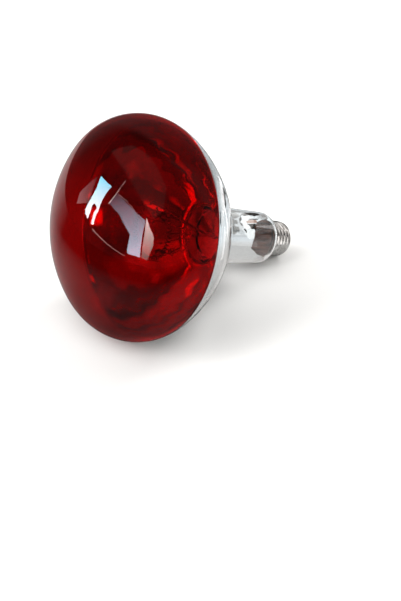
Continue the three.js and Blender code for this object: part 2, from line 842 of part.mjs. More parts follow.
addPiece("lead_wire_outer_b", outerLeadCentre(), 0xa8704c, 0.35, 0.9);
const coil = tubeThrough(filamentPoints, filamentWireDiameter / 2, coilWireSides);
addPiece("filament", coil, 0x6f7072, 0.45, 0.9);
for (let i = 0; i < supportCount; i++) {
  addPiece(`filament_support_${i + 1}`, filamentSupport(i), 0x8d8c8a, 0.4, 0.9);
}

// Lays the lamp down: the tilt is found at which the bowl and the thread touch the same floor
function lowestPoint(names, tilt) {
  let lowest = Infinity;
  turned.children
    .filter((mesh) => names.includes(mesh.name))
    .forEach((mesh) => {
      const place = mesh.geometry.attributes.position;
      for (let i = 0; i < place.count; i++) {
        lowest = Math.min(lowest, -place.getX(i) * Math.cos(tilt) - place.getZ(i) * Math.sin(tilt));
      }
    });
  return lowest;
}

function restingTilt() {
  let low = 0;
  let high = Math.PI / 4;
  for (let i = 0; i < 50; i++) {
    const middle = (low + high) / 2;
    const head = lowestPoint(["front_lens", "reflector_bowl"], middle);
    if (head < lowestPoint(["cap_shell"], middle)) low = middle;
    else high = middle;
  }
  return low;
}

turned.rotation.y = Math.PI / 2 + restingTilt();
group.updateMatrixWorld(true);
const extent = new THREE.Box3().setFromObject(turned, true);
const middle = extent.getCenter(new THREE.Vector3());
turned.position.set(-middle.x, -middle.y, -extent.min.z);
console.log(`tilt ${THREE.MathUtils.radToDeg(restingTilt()).toFixed(3)} degrees`);

export default group;
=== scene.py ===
import json
import logging
import math
from dataclasses import dataclass
from enum import Enum
from typing import Any

import bpy
import numpy as np
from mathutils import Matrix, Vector


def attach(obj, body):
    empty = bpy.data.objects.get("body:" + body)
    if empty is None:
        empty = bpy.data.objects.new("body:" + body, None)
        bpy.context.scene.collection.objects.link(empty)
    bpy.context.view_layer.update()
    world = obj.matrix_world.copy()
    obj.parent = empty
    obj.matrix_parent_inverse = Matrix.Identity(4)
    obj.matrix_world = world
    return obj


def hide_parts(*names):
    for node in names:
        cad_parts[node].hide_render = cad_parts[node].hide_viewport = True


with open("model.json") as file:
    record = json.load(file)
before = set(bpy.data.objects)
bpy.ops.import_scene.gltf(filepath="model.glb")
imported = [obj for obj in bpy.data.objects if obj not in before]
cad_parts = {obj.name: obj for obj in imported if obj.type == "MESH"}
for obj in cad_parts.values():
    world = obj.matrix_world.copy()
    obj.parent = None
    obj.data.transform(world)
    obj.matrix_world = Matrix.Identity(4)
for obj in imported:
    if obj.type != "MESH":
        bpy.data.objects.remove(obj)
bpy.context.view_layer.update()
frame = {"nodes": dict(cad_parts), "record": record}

log = logging.getLogger("heat_lamp")
MM = 0.001
# Room left between two pieces that touch on the real lamp
GAP = 0.3 * MM
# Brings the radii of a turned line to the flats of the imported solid's 24 facets
TO_FLATS = np.array([math.cos(math.pi / 24), 1.0])
IMAGE_SIZE = (401, 601)


# Lines, surfaces and where they lie


class Round(Enum):
    """How the two directions of a surface close on themselves."""

    COLUMNS = "columns"
    BOTH = "both"


@dataclass(frozen=True)
class LampAxis:
    """The lamp's own frame: the widest circle lies at 0 on the axis, the lens before it and the cap
    behind it."""

    contact_place: float = 139.2 * MM

    def directions(self) -> tuple[np.ndarray, np.ndarray, np.ndarray, np.ndarray]:
        """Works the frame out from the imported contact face.

        Returns:
            The origin, the direction that faces the floor, the sideways direction and the axis, in the
            row frame.
        """
        mount = frame["record"]["mounts"][0]
        axis = np.array(mount["axis"], float)
        axis /= np.linalg.norm(axis)
        origin = np.array(mount["pos_m"], float) - self.contact_place * axis
        sideways = np.array([0.0, 1.0, 0.0])
        return origin, np.cross(sideways, axis), sideways, axis

    def place(self, points: np.ndarray) -> np.ndarray:
        """Moves points from the lamp's frame to the row frame: origin plus each coordinate times its
        direction.

        Args:
            points: Any array whose last axis holds floorward, sideways and along, in metres.

        Returns:
            The points in the row frame, in an array of the same shape.
        """
        origin, down, sideways, axis = self.directions()
        return origin + points @ np.stack([down, sideways, axis])

    def turn_angle(self) -> float:
        """The turn round the row's Y that takes Z to the lamp's axis, in radians."""
        axis = self.directions()[3]
        return math.atan2(axis[0], axis[2])


AXIS = LampAxis()


def arc_line(centre: tuple[float, float], radius: float, start: float, end: float, steps: int) -> np.ndarray:
    """A circular arc: centre plus radius times (sin, -cos) of an evenly stepped angle.

    Args:
        centre: Distance from the axis and place along it.
        radius: The arc's radius.
        start: First angle, 0 towards the front.
        end: Last angle.
        steps: Number of steps.

    Returns:
        Points as (distance from the axis, place along it).
    """
    angle = np.linspace(start, end, steps + 1)
    return np.stack([centre[0] + radius * np.sin(angle), centre[1] - radius * np.cos(angle)], axis=-1)


def bezier_line(controls: np.ndarray, steps: int) -> np.ndarray:
    """A Bezier curve: each control point weighted by its Bernstein polynomial.

    Args:
        controls: The control points, one a row.
        steps: Number of steps.

    Returns:
        The curve's points.
    """
    last = len(controls) - 1
    share = np.linspace(0, 1, steps + 1)[:, None]
    order = np.arange(last + 1)
    counts = np.array([math.comb(last, i) for i in range(last + 1)], float)
    return (counts * (1 - share) ** (last - order) * share**order) @ np.asarray(controls, float)


def rounded_corner(
    before: np.ndarray, corner: np.ndarray, after: np.ndarray, radius: float, steps: int
) -> np.ndarray:
    """A quadratic Bezier curve that touches both runs where a circle of that radius would.

    Args:
        before: A point on the run that comes in.
        corner: The corner itself.
        after: A point on the run that goes out.
        radius: About the radius of the rounding.
        steps: Number of steps.

    Returns:
        The curve's points.
    """
    inward = (before - corner) / np.linalg.norm(before - corner)
    outward = (after - corner) / np.linalg.norm(after - corner)
    reach = radius * math.tan((math.pi - math.acos(float(inward @ outward))) / 2)
    return bezier_line(np.array([corner + inward * reach, corner, corner + outward * reach]), steps)


def soft_loop(corners: list[tuple[float, float]], radius: float, steps: int = 4) -> np.ndarray:
    """A closed outline with each corner rounded by a quadratic Bezier curve.

    Args:
        corners: The outline's corners in order.
        radius: How far from each corner its curve starts.
        steps: Steps in each corner.

    Returns:
        The outline's points, the first not repeated.
    """
    corner = np.array(corners, float)
    before, after = np.roll(corner, 1, axis=0) - corner, np.roll(corner, -1, axis=0) - corner
    start, end = np.linalg.norm(before, axis=1, keepdims=True), np.linalg.norm(after, axis=1, keepdims=True)
    start = corner + before / start * np.minimum(radius, start * 0.45)
    end = corner + after / end * np.minimum(radius, end * 0.45)
    share = np.linspace(0, 1, steps + 1)[None, :, None]
    curve = (1 - share) ** 2 * start[:, None] + 2 * share * (1 - share) * corner[:, None]
    curve += share**2 * end[:, None]
    return curve.reshape(-1, 2)


def inset_line(line: np.ndarray, wall: float) -> np.ndarray:
    """The same line moved towards the axis, square to itself, with its ends on the axis kept there.

    Args:
        line: Points as (distance from the axis, place along it), front to back.
        wall: How far it moves.

    Returns:
        The moved line.
    """
    tangent = np.gradient(line, axis=0)
    tangent /= np.linalg.norm(tangent, axis=1, keepdims=True)
    moved = line + wall * np.stack([-tangent[:, 1], tangent[:, 0]], axis=-1)
    moved[line[:, 0] == 0, 0] = 0
    return moved


def smooth_line(points: list[tuple[float, float, float]], steps: int) -> np.ndarray:
    """A Catmull-Rom curve through the points: each stretch is the cubic whose end slopes follow its
    neighbours.

    Args:
        points: The points that it passes.
        steps: Steps in each stretch.

    Returns:
        The curve's points.
    """
    p = np.array(points, float)
    p = np.vstack([2 * p[0] - p[1], p, 2 * p[-1] - p[-2]])
    share = np.linspace(0, len(points) - 1, steps * (len(points) - 1) + 1)
    first = np.minimum(share.astype(int), len(points) - 2)
    t = (share - first)[:, None]
    a, b, c, d = p[first], p[first + 1], p[first + 2], p[first + 3]
    return 0.5 * (2 * b + (c - a) * t + (2 * a - 5 * b + 4 * c - d) * t**2 + (3 * b - 3 * c + d - a) * t**3)


def surface(
    name: str, points: np.ndarray, closing: Round = Round.COLUMNS, sharp: float = 35.0
) -> bpy.types.Object:
    """Makes a mesh of a grid of points: each cell is a quad, a row that has shrunk to a point is one
    vertex, and the faces are turned by the sign of the enclosed volume so that they point outwards.

    Args:
        name: Name of the object and its mesh.
        points: Rows by columns of points in the row frame.
        closing: Which directions join up.
        sharp: Angle in degrees above which an edge stays sharp.

    Returns:
        The new object, at the origin.
    """
    rows, columns, _ = points.shape
    index = np.arange(rows * columns).reshape(rows, columns)
    shrunk = np.ptp(points, axis=1).max(axis=1) < 1e-8
    index[shrunk] = index[shrunk][:, :1]
    if closing is Round.BOTH:
        index = np.vstack([index, index[:1]])
    index = np.hstack([index, index[:, :1]])
    quads = np.stack([index[:-1, :-1], index[:-1, 1:], index[1:, 1:], index[1:, :-1]], axis=-1).reshape(-1, 4)
    used, faces = np.unique(quads, return_inverse=True)
    faces = faces.reshape(-1, 4)
    places = points.reshape(-1, 3)[used]
    corner = places[faces] - places.mean(axis=0)
    volume = np.einsum("ij,ij->i", corner[:, 0], np.cross(corner[:, 1], corner[:, 2])).sum()
    volume += np.einsum("ij,ij->i", corner[:, 0], np.cross(corner[:, 2], corner[:, 3])).sum()
    if volume < 0:
        faces = faces[:, ::-1]
    same = faces == np.roll(faces, -1, axis=1)
    full = faces[~same.any(axis=1)]
    short = faces[same.sum(axis=1) == 1]
    short = short[~same[same.sum(axis=1) == 1]].reshape(-1, 3)
    mesh = bpy.data.meshes.new(name)
    mesh.from_pydata(places.tolist(), [], full.tolist() + short.tolist())
    mesh.shade_smooth()
    mesh.set_sharp_from_angle(angle=math.radians(sharp))
    piece = bpy.data.objects.new(name, mesh)
    bpy.context.scene.collection.objects.link(piece)
    return piece


def revolve_points(line: np.ndarray, columns: int, centre: tuple[float, float] = (0.0, 0.0)) -> np.ndarray:
    """Turns a profile round the lamp's axis: (r cos t, r sin t, along), shifted by centre.

    Args:
        line: Points as (distance from the axis, place along it).
        columns: Number of steps round.
        centre: Shift towards the floor and sideways.

    Returns:
        Rows by columns of points in the row frame.
    """
    angle = np.linspace(0, 2 * math.pi, columns, endpoint=False)[None]
    radius, along = line[:, :1], line[:, 1:]
    turned = np.stack(
        [radius * np.cos(angle) + centre[0], radius * np.sin(angle) + centre[1], along + 0 * angle], axis=-1
    )
    return AXIS.place(turned)


def sweep_points(path: np.ndarray, radius: np.ndarray | float, side: np.ndarray, sides: int) -> np.ndarray:
    """Carries a circle along a path: path + r (cos t n + sin t b), where n is the side direction made
    square to the path and b is square to both. The first and last rings shrink to a point.

    Args:
        path: Points in the lamp's frame.
        radius: One radius, or one for each point.
        side: One direction, or one for each point, never along the path.
        sides: Number of steps round.

    Returns:
        Rows by columns of points in the row frame.
    """
    tangent = np.gradient(path, axis=0)
    tangent /= np.linalg.norm(tangent, axis=1, keepdims=True)
    normal = side - (tangent * side).sum(axis=1, keepdims=True) * tangent
    normal /= np.linalg.norm(normal, axis=1, keepdims=True)
    across = np.cross(tangent, normal)
    angle = np.linspace(0, 2 * math.pi, sides, endpoint=False)[None, :, None]
    size = np.broadcast_to(np.asarray(radius, float), len(path))[:, None, None]
    rings = path[:, None] + size * (np.cos(angle) * normal[:, None] + np.sin(angle) * across[:, None])
    ends = np.repeat(path[[0, -1], None], sides, axis=1)
    return AXIS.place(np.concatenate([ends[:1], rings, ends[1:]]))


def reflected(rays: np.ndarray, normals: np.ndarray) -> np.ndarray:
    """Turns rays back at a mirror: the ray less twice its part along the normal.

    Args:
        rays: Unit directions, one a row.
        normals: The mirror's unit normals, one a row.

    Returns:
        The new unit directions.
    """
    return rays - 2 * (rays * normals).sum(axis=1, keepdims=True) * normals


def band_round(marks: np.ndarray, half_width: float) -> np.ndarray:
    """The outline of a thin band: the marks moved to one side of their run, and back along the other.

    Args:
        marks: Places along the band's middle.
        half_width: Half of its width.

    Returns:
        The outline, twice as many places.
    """
    run = np.gradient(marks, axis=0)
    run /= np.linalg.norm(run, axis=1, keepdims=True)
    aside = half_width * np.stack([-run[:, 1], run[:, 0]], axis=-1)
    return np.vstack([marks + aside, (marks - aside)[::-1]])


# Finishes


def to_linear(colour: str) -> tuple[float, float, float, float]:
    """Turns an sRGB hex colour such as #a0b0c0 to linear light.

    Args:
        colour: The hex colour.

    Returns:
        Red, green and blue from 0 to 1, and an alpha of 1.
    """
    parts = [int(colour[i : i + 2], 16) / 255 for i in (1, 3, 5)]
    red, green, blue = (p / 12.92 if p <= 0.04045 else ((p + 0.055) / 1.055) ** 2.4 for p in parts)
    return red, green, blue, 1.0


def add_node(
    tree: bpy.types.NodeTree,
    kind: str,
    settings: dict[str | int, Any] | None = None,
    links: dict[str | int, bpy.types.NodeSocket] | None = None,
) -> bpy.types.Node:
    """Adds a node. A setting that is a property of the node is set there, and any other on the input of
    that name or number.

    Args:
        tree: The tree that it goes into.
        kind: The node's type.
        settings: Values by the name of a property, or the name or number of an input.
        links: Output sockets by the name or number of the input that they feed.

    Returns:
        The new node.
    """
    node = tree.nodes.new(kind)
    for key, value in (settings or {}).items():
        if isinstance(key, str) and hasattr(node, key):
            setattr(node, key, value)
        else:
            node.inputs[key].default_value = value
    for key, output in (links or {}).items():
        tree.links.new(output, node.inputs[key])
    return node


@dataclass(frozen=True)
class Finish:
    """What every finish shares: its name, and how a Principled shader is started and joined to the
    output."""

    name: str

    def start(
        self, settings: dict[str | int, Any]
    ) -> tuple[bpy.types.Material, bpy.types.NodeTree, bpy.types.Node]:
        """Makes the material with its Principled node.

        Args:
            settings: The Principled node's fixed inputs.

        Returns:
            The material, its tree and its Principled node, joined to the output.
        """
        material = bpy.data.materials.new(self.name)
        material.use_nodes = True
        tree = material.node_tree
        tree.nodes.clear()
        shader = add_node(tree, "ShaderNodeBsdfPrincipled", settings)
        add_node(tree, "ShaderNodeOutputMaterial", links={"Surface": shader.outputs["BSDF"]})
        return material, tree, shader

    def lamp_coordinates(self, tree: bpy.types.NodeTree) -> bpy.types.NodeSocket:
        """Object coordinates turned so that Z runs along the lamp's axis from its widest circle.

        Args:
            tree: The material's tree.

        Returns:
            The socket that gives them.
        """
        source = add_node(tree, "ShaderNodeTexCoord")
        turned = add_node(
            tree,
            "ShaderNodeMapping",
            {
                "vector_type": "TEXTURE",
                "Location": AXIS.directions()[0].tolist(),
                "Rotation": (0.0, AXIS.turn_angle(), 0.0),
            },
            {"Vector": source.outputs["Object"]},
        )
        return turned.outputs["Vector"]


@dataclass(frozen=True)
class BlownGlass(Finish):
    """Soda-lime glass blown in a mould: clear right through, mirror-smooth, with a faint wave about 20 mm
    long left by the mould, which bends what it reflects."""

    colour: str = "#f4f7f6"
    ior: float = 1.51
    roughness: float = 0.0
    wave_length: float = 22 * MM
    wave_height: float = 0.0

    def build(self) -> bpy.types.Material:
        """Builds the material.

        Returns:
            The material.
        """
        glass = {"Base Color": to_linear(self.colour), "Transmission Weight": 1.0, "IOR": self.ior}
        material, tree, shader = self.start(glass | {"Roughness": self.roughness})
        if self.wave_height > 0:
            where = self.lamp_coordinates(tree)
            wave = add_node(
                tree, "ShaderNodeTexNoise", {"Scale": 1 / self.wave_length, "Detail": 1.0}, {"Vector": where}
            )
            bump = add_node(
                tree,
                "ShaderNodeBump",
                {"Strength": 1.0, "Distance": self.wave_height},
                {"Height": wave.outputs["Fac"]},
            )
            tree.links.new(bump.outputs["Normal"], shader.inputs["Normal"])
        return material


@dataclass(frozen=True)
class EvaporatedMirror(Finish):
    """Aluminium evaporated onto the inside of the glass: a bright mirror that takes over every ripple of
    the blown wall, with a thinner, browner and slightly smoky band where the coat runs out near the cap."""

    colour: str = "#dfe1e3"
    thin_colour: str = "#9a8f88"
    thin_roughness: float = 0.06
    roughness: float = 0.025
    ripple_length: float = 15 * MM
    ripple_height: float = 0.16 * MM
    ring_length: float = 9 * MM
    ring_height: float = 0.0
    coat_end: float = 104 * MM

    def build(self) -> bpy.types.Material:
        """Builds the material.

        Returns:
            The material.
        """
        material, tree, shader = self.start({"Metallic": 1.0})
        where = self.lamp_coordinates(tree)
        along = add_node(tree, "ShaderNodeSeparateXYZ", links={"Vector": where})
        fade = add_node(
            tree,
            "ShaderNodeMapRange",
            {"From Min": self.coat_end - 8 * MM, "From Max": self.coat_end + 4 * MM},
            {"Value": along.outputs["Z"]},
        )
        colour = add_node(
            tree,
            "ShaderNodeMix",
            {"data_type": "RGBA", 6: to_linear(self.colour), 7: to_linear(self.thin_colour)},
            {"Factor": fade.outputs["Result"]},
        )
        ripple = add_node(
            tree, "ShaderNodeTexNoise", {"Scale": 1 / self.ripple_length, "Detail": 2.0}, {"Vector": where}
        )
        smoke = add_node(
            tree,
            "ShaderNodeMapRange",
            {"To Min": self.roughness * 0.6, "To Max": self.roughness * 1.6},
            {"Value": ripple.outputs["Fac"]},
        )
        rough = add_node(
            tree,
            "ShaderNodeMix",
            {3: self.thin_roughness},
            {"Factor": fade.outputs["Result"], 2: smoke.outputs["Result"]},
        )
        height = ripple.outputs["Fac"]
        if self.ring_height > 0:
            rings = add_node(
                tree,
                "ShaderNodeTexWave",
                {
                    "bands_direction": "Z",
                    "Scale": math.pi / 10 / self.ring_length,
                    "Distortion": 2.5,
                    "Detail": 1.0,
                    "Detail Scale": 0.4,
                },
                {"Vector": where},
            )
            sum_of = add_node(
                tree,
                "ShaderNodeMath",
                {"operation": "MULTIPLY_ADD", 1: self.ring_height / self.ripple_height},
                {0: rings.outputs["Fac"], 2: height},
            )
            height = sum_of.outputs["Value"]
        bump = add_node(
            tree, "ShaderNodeBump", {"Strength": 1.0, "Distance": self.ripple_height}, {"Height": height}
        )
        tree.links.new(colour.outputs[2], shader.inputs["Base Color"])
        tree.links.new(rough.outputs[0], shader.inputs["Roughness"])
        tree.links.new(bump.outputs["Normal"], shader.inputs["Normal"])
        return material


@dataclass(frozen=True)
class WorkedMetal(Finish):
    """Sheet, wire or cast metal: a base colour that darkens a little in patches, a satin surface whose
    roughness changes from place to place, and fine marks left by drawing or rolling."""

    colour: str = "#b8b4aa"
    dark_colour: str = "#8f8a80"
    roughness: float = 0.3
    roughness_swing: float = 0.12
    patch_size: float = 5 * MM
    mark_size: float = 0.25 * MM
    mark_depth: float = 0.012 * MM

    def build(self) -> bpy.types.Material:
        """Builds the material.

        Returns:
            The material.
        """
        material, tree, shader = self.start({"Metallic": 1.0})
        where = self.lamp_coordinates(tree)
        patches = add_node(
            tree, "ShaderNodeTexNoise", {"Scale": 1 / self.patch_size, "Detail": 4.0}, {"Vector": where}
        )
        marks = add_node(
            tree, "ShaderNodeTexNoise", {"Scale": 1 / self.mark_size, "Detail": 2.0}, {"Vector": where}
        )
        contrast = add_node(
            tree, "ShaderNodeMapRange", {"From Min": 0.35, "From Max": 0.7}, {"Value": patches.outputs["Fac"]}
        )
        colour = add_node(
            tree,
            "ShaderNodeMix",
            {"data_type": "RGBA", 6: to_linear(self.colour), 7: to_linear(self.dark_colour)},
            {"Factor": contrast.outputs["Result"]},
        )
        satin = add_node(
            tree,
            "ShaderNodeMapRange",
            {
                "From Min": 0.3,
                "From Max": 0.7,
                "To Min": self.roughness - self.roughness_swing,
                "To Max": self.roughness + self.roughness_swing,
            },
            {"Value": patches.outputs["Fac"]},
        )
        bump = add_node(
            tree,
            "ShaderNodeBump",
            {"Strength": 1.0, "Distance": self.mark_depth},
            {"Height": marks.outputs["Fac"]},
        )
        tree.links.new(colour.outputs[2], shader.inputs["Base Color"])
        tree.links.new(satin.outputs["Result"], shader.inputs["Roughness"])
        tree.links.new(bump.outputs["Normal"], shader.inputs["Normal"])
        return material


@dataclass(frozen=True)
class MineralBody(Finish):
    """Matt or glossy non-metal, such as baked cement, mica or black glass: two tones mixed by a noise of
    the given grain, with a bump of the same grain."""

    colour: str = "#5a4038"
    other_colour: str = "#3a2822"
    roughness: float = 0.8
    grain: float = 1.2 * MM
    depth: float = 0.15 * MM
    ior: float = 1.5
    run_share: float = 1.0

    def build(self) -> bpy.types.Material:
        """Builds the material.

        Returns:
            The material.
        """
        material, tree, shader = self.start({"IOR": self.ior})
        where = self.lamp_coordinates(tree)
        drawn = add_node(
            tree, "ShaderNodeMapping", {"Scale": (1.0, 1.0, self.run_share)}, {"Vector": where}
        )
        grain = add_node(
            tree,
            "ShaderNodeTexNoise",
            {"Scale": 1 / self.grain, "Detail": 5.0},
            {"Vector": drawn.outputs["Vector"]},
        )
        contrast = add_node(
            tree, "ShaderNodeMapRange", {"From Min": 0.35, "From Max": 0.65}, {"Value": grain.outputs["Fac"]}
        )
        colour = add_node(
            tree,
            "ShaderNodeMix",
            {"data_type": "RGBA", 6: to_linear(self.colour), 7: to_linear(self.other_colour)},
            {"Factor": contrast.outputs["Result"]},
        )
        gloss = add_node(
            tree,
            "ShaderNodeMapRange",
            {"To Min": self.roughness * 0.8, "To Max": min(1.0, self.roughness * 1.2)},
            {"Value": grain.outputs["Fac"]},
        )
        bump = add_node(
            tree,
            "ShaderNodeBump",
            {"Strength": 1.0, "Distance": self.depth},
            {"Height": grain.outputs["Fac"]},
        )
        tree.links.new(colour.outputs[2], shader.inputs["Base Color"])
        tree.links.new(gloss.outputs["Result"], shader.inputs["Roughness"])
        tree.links.new(bump.outputs["Normal"], shader.inputs["Normal"])
        return material


class Slot(Enum):
    """The record's material slots, each with the finish that it gets here."""

    RUBY = "ruby_glass"
    SILVERED = "silvered_glass"
    CLEAR = "clear_glass"
    CAP = "cap_metal"
    CEMENT = "cement"
    BLACK = "black_glass"
    BRASS = "brass"
    SOLDER = "solder"
    MICA = "mica"
    NICKEL = "nickel"
    COPPER = "copper_wire"
    TUNGSTEN = "tungsten"
    MOLYBDENUM = "molybdenum"


FINISHES: dict[Slot, Finish] = {
    # Selenium ruby glass, blown in a mould: deep red where the light goes through twice, with a hard gloss
    Slot.RUBY: BlownGlass("ruby_blown_glass", colour="#bc0d12", wave_height=0.02 * MM),
    # Clear soda-lime glass, blown: nearly unseen, so that the eye meets the mirror on its inner side
    Slot.SILVERED: BlownGlass("clear_blown_glass", colour="#f3f5f5", wave_height=0.02 * MM),
    # Lead glass, flared and pressed while soft: clear with a faint green body
    Slot.CLEAR: BlownGlass("clear_stem_glass", colour="#e6ebe8", ior=1.54, roughness=0.01),
    # Aluminium sheet, rolled into a thread: satin silver, a little greyer in patches
    Slot.CAP: WorkedMetal("rolled_aluminium_cap", colour="#d0cfcd", dark_colour="#a6a4a1", roughness=0.24),
    # Resin and marble-flour cement, baked in the cap: matt, brown and grainy
    Slot.CEMENT: MineralBody("baked_basing_cement", colour="#8a6156", other_colour="#5d3c33", roughness=0.85),
    # Black glass, pressed into the cap's end: glossy, with hardly any grain
    Slot.BLACK: MineralBody("pressed_black_glass", "#101013", "#1b1a20", 0.12, 3 * MM, 0.02 * MM, 1.6),
    # Brass sheet, stamped: warm yellow with duller patches
    Slot.BRASS: WorkedMetal("stamped_brass", colour="#c9a25e", dark_colour="#8c6f3c", roughness=0.32),
    # Tin solder, left as it set: grey, dull and blotched
    Slot.SOLDER: WorkedMetal(
        "dull_solder", colour="#b4b6b8", dark_colour="#85878a", roughness=0.42, patch_size=1.2 * MM
    ),
    # Mica, split into a sheet: pale, warm and softly glossy
    Slot.MICA: MineralBody("pale_mica_sheet", "#d6c8b2", "#b09c84", 0.3, 2.5 * MM, 0.02 * MM, 1.58),
    # Nickel wire, drawn: warm grey and satin
    Slot.NICKEL: WorkedMetal("drawn_nickel_wire", colour="#a8a49c", dark_colour="#7d7972", roughness=0.3),
    # Copper wire, drawn: reddish and satin
    Slot.COPPER: WorkedMetal("drawn_copper_wire", colour="#c07c52", dark_colour="#8a5438", roughness=0.3),
    # Tungsten wire, drawn: dark grey and dull
    Slot.TUNGSTEN: WorkedMetal(
        "drawn_tungsten_wire", colour="#6a6b6e", dark_colour="#4c4d50", roughness=0.38
    ),
    # Molybdenum wire, drawn: mid grey and satin
    Slot.MOLYBDENUM: WorkedMetal(
        "drawn_molybdenum_wire", colour="#8a8b8c", dark_colour="#65666a", roughness=0.35
    ),
}
# Aluminium, evaporated: a bright mirror that shows each ripple of the wall
COAT = EvaporatedMirror("evaporated_mirror")
# The same coat seen from the bulb's inside, with the faint rings that the mould left in the wall
COAT_INSIDE = EvaporatedMirror("evaporated_mirror_inside", ring_height=0.1 * MM)
# Painted shade: a dark brown matt sheet, streaked along the axis, standing in for the shaded inside of the
# cap and its brown cement seen through the bare neck
PAINTED_SHADE_FILM = MineralBody("cap_shade_painted_film", "#8a5c4c", "#2c130d", 0.9, 2.2 * MM, 0.02 * MM, 1.06, 0.12)


class Workshop:
    """Keeps the built finishes, and dresses each piece the same way."""

    def __init__(self) -> None:
        """Builds every finish once."""
        self.materials = {slot: finish.build() for slot, finish in FINISHES.items()}
        self.materials["mirror"] = COAT.build()
        self.materials["mirror_inside"] = COAT_INSIDE.build()
        # Painted shade: the dark brown sheet that stands in for the cap's shaded inside
        self.materials["film"] = PAINTED_SHADE_FILM.build()

    def dress(
        self,
        piece: bpy.types.Object,
        slot: Slot,
        nodes: tuple[str, ...] = (),
        finish: str | None = None,
    ) -> bpy.types.Object:
        """Gives a piece its finish, puts it on the lamp and hides the solids that it stands for.

        Args:
            piece: The new object.
            slot: The record's slot for it.
            nodes: The solids that it stands for.
            finish: Another finish than the slot's own.

        Returns:
            The same object.
        """
        material = self.materials[finish or slot]
        piece.data.materials.clear()
        piece.data.materials.append(material)
        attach(piece, "root")
        if nodes:
            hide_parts(*nodes)
        log.info("%s: %d faces, %s", piece.name, len(piece.data.polygons), material.name)
        return piece

    def dress_solid(self, node: str, slot: Slot) -> None:
        """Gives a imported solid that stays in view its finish.

        Args:
            node: The solid's name.
            slot: The record's slot for it.
        """
        solid = frame["nodes"][node]
        solid.data.materials.clear()
        solid.data.materials.append(self.materials[slot])
        log.info("%s: packed solid, %s", node, self.materials[slot].name)


# The lamp


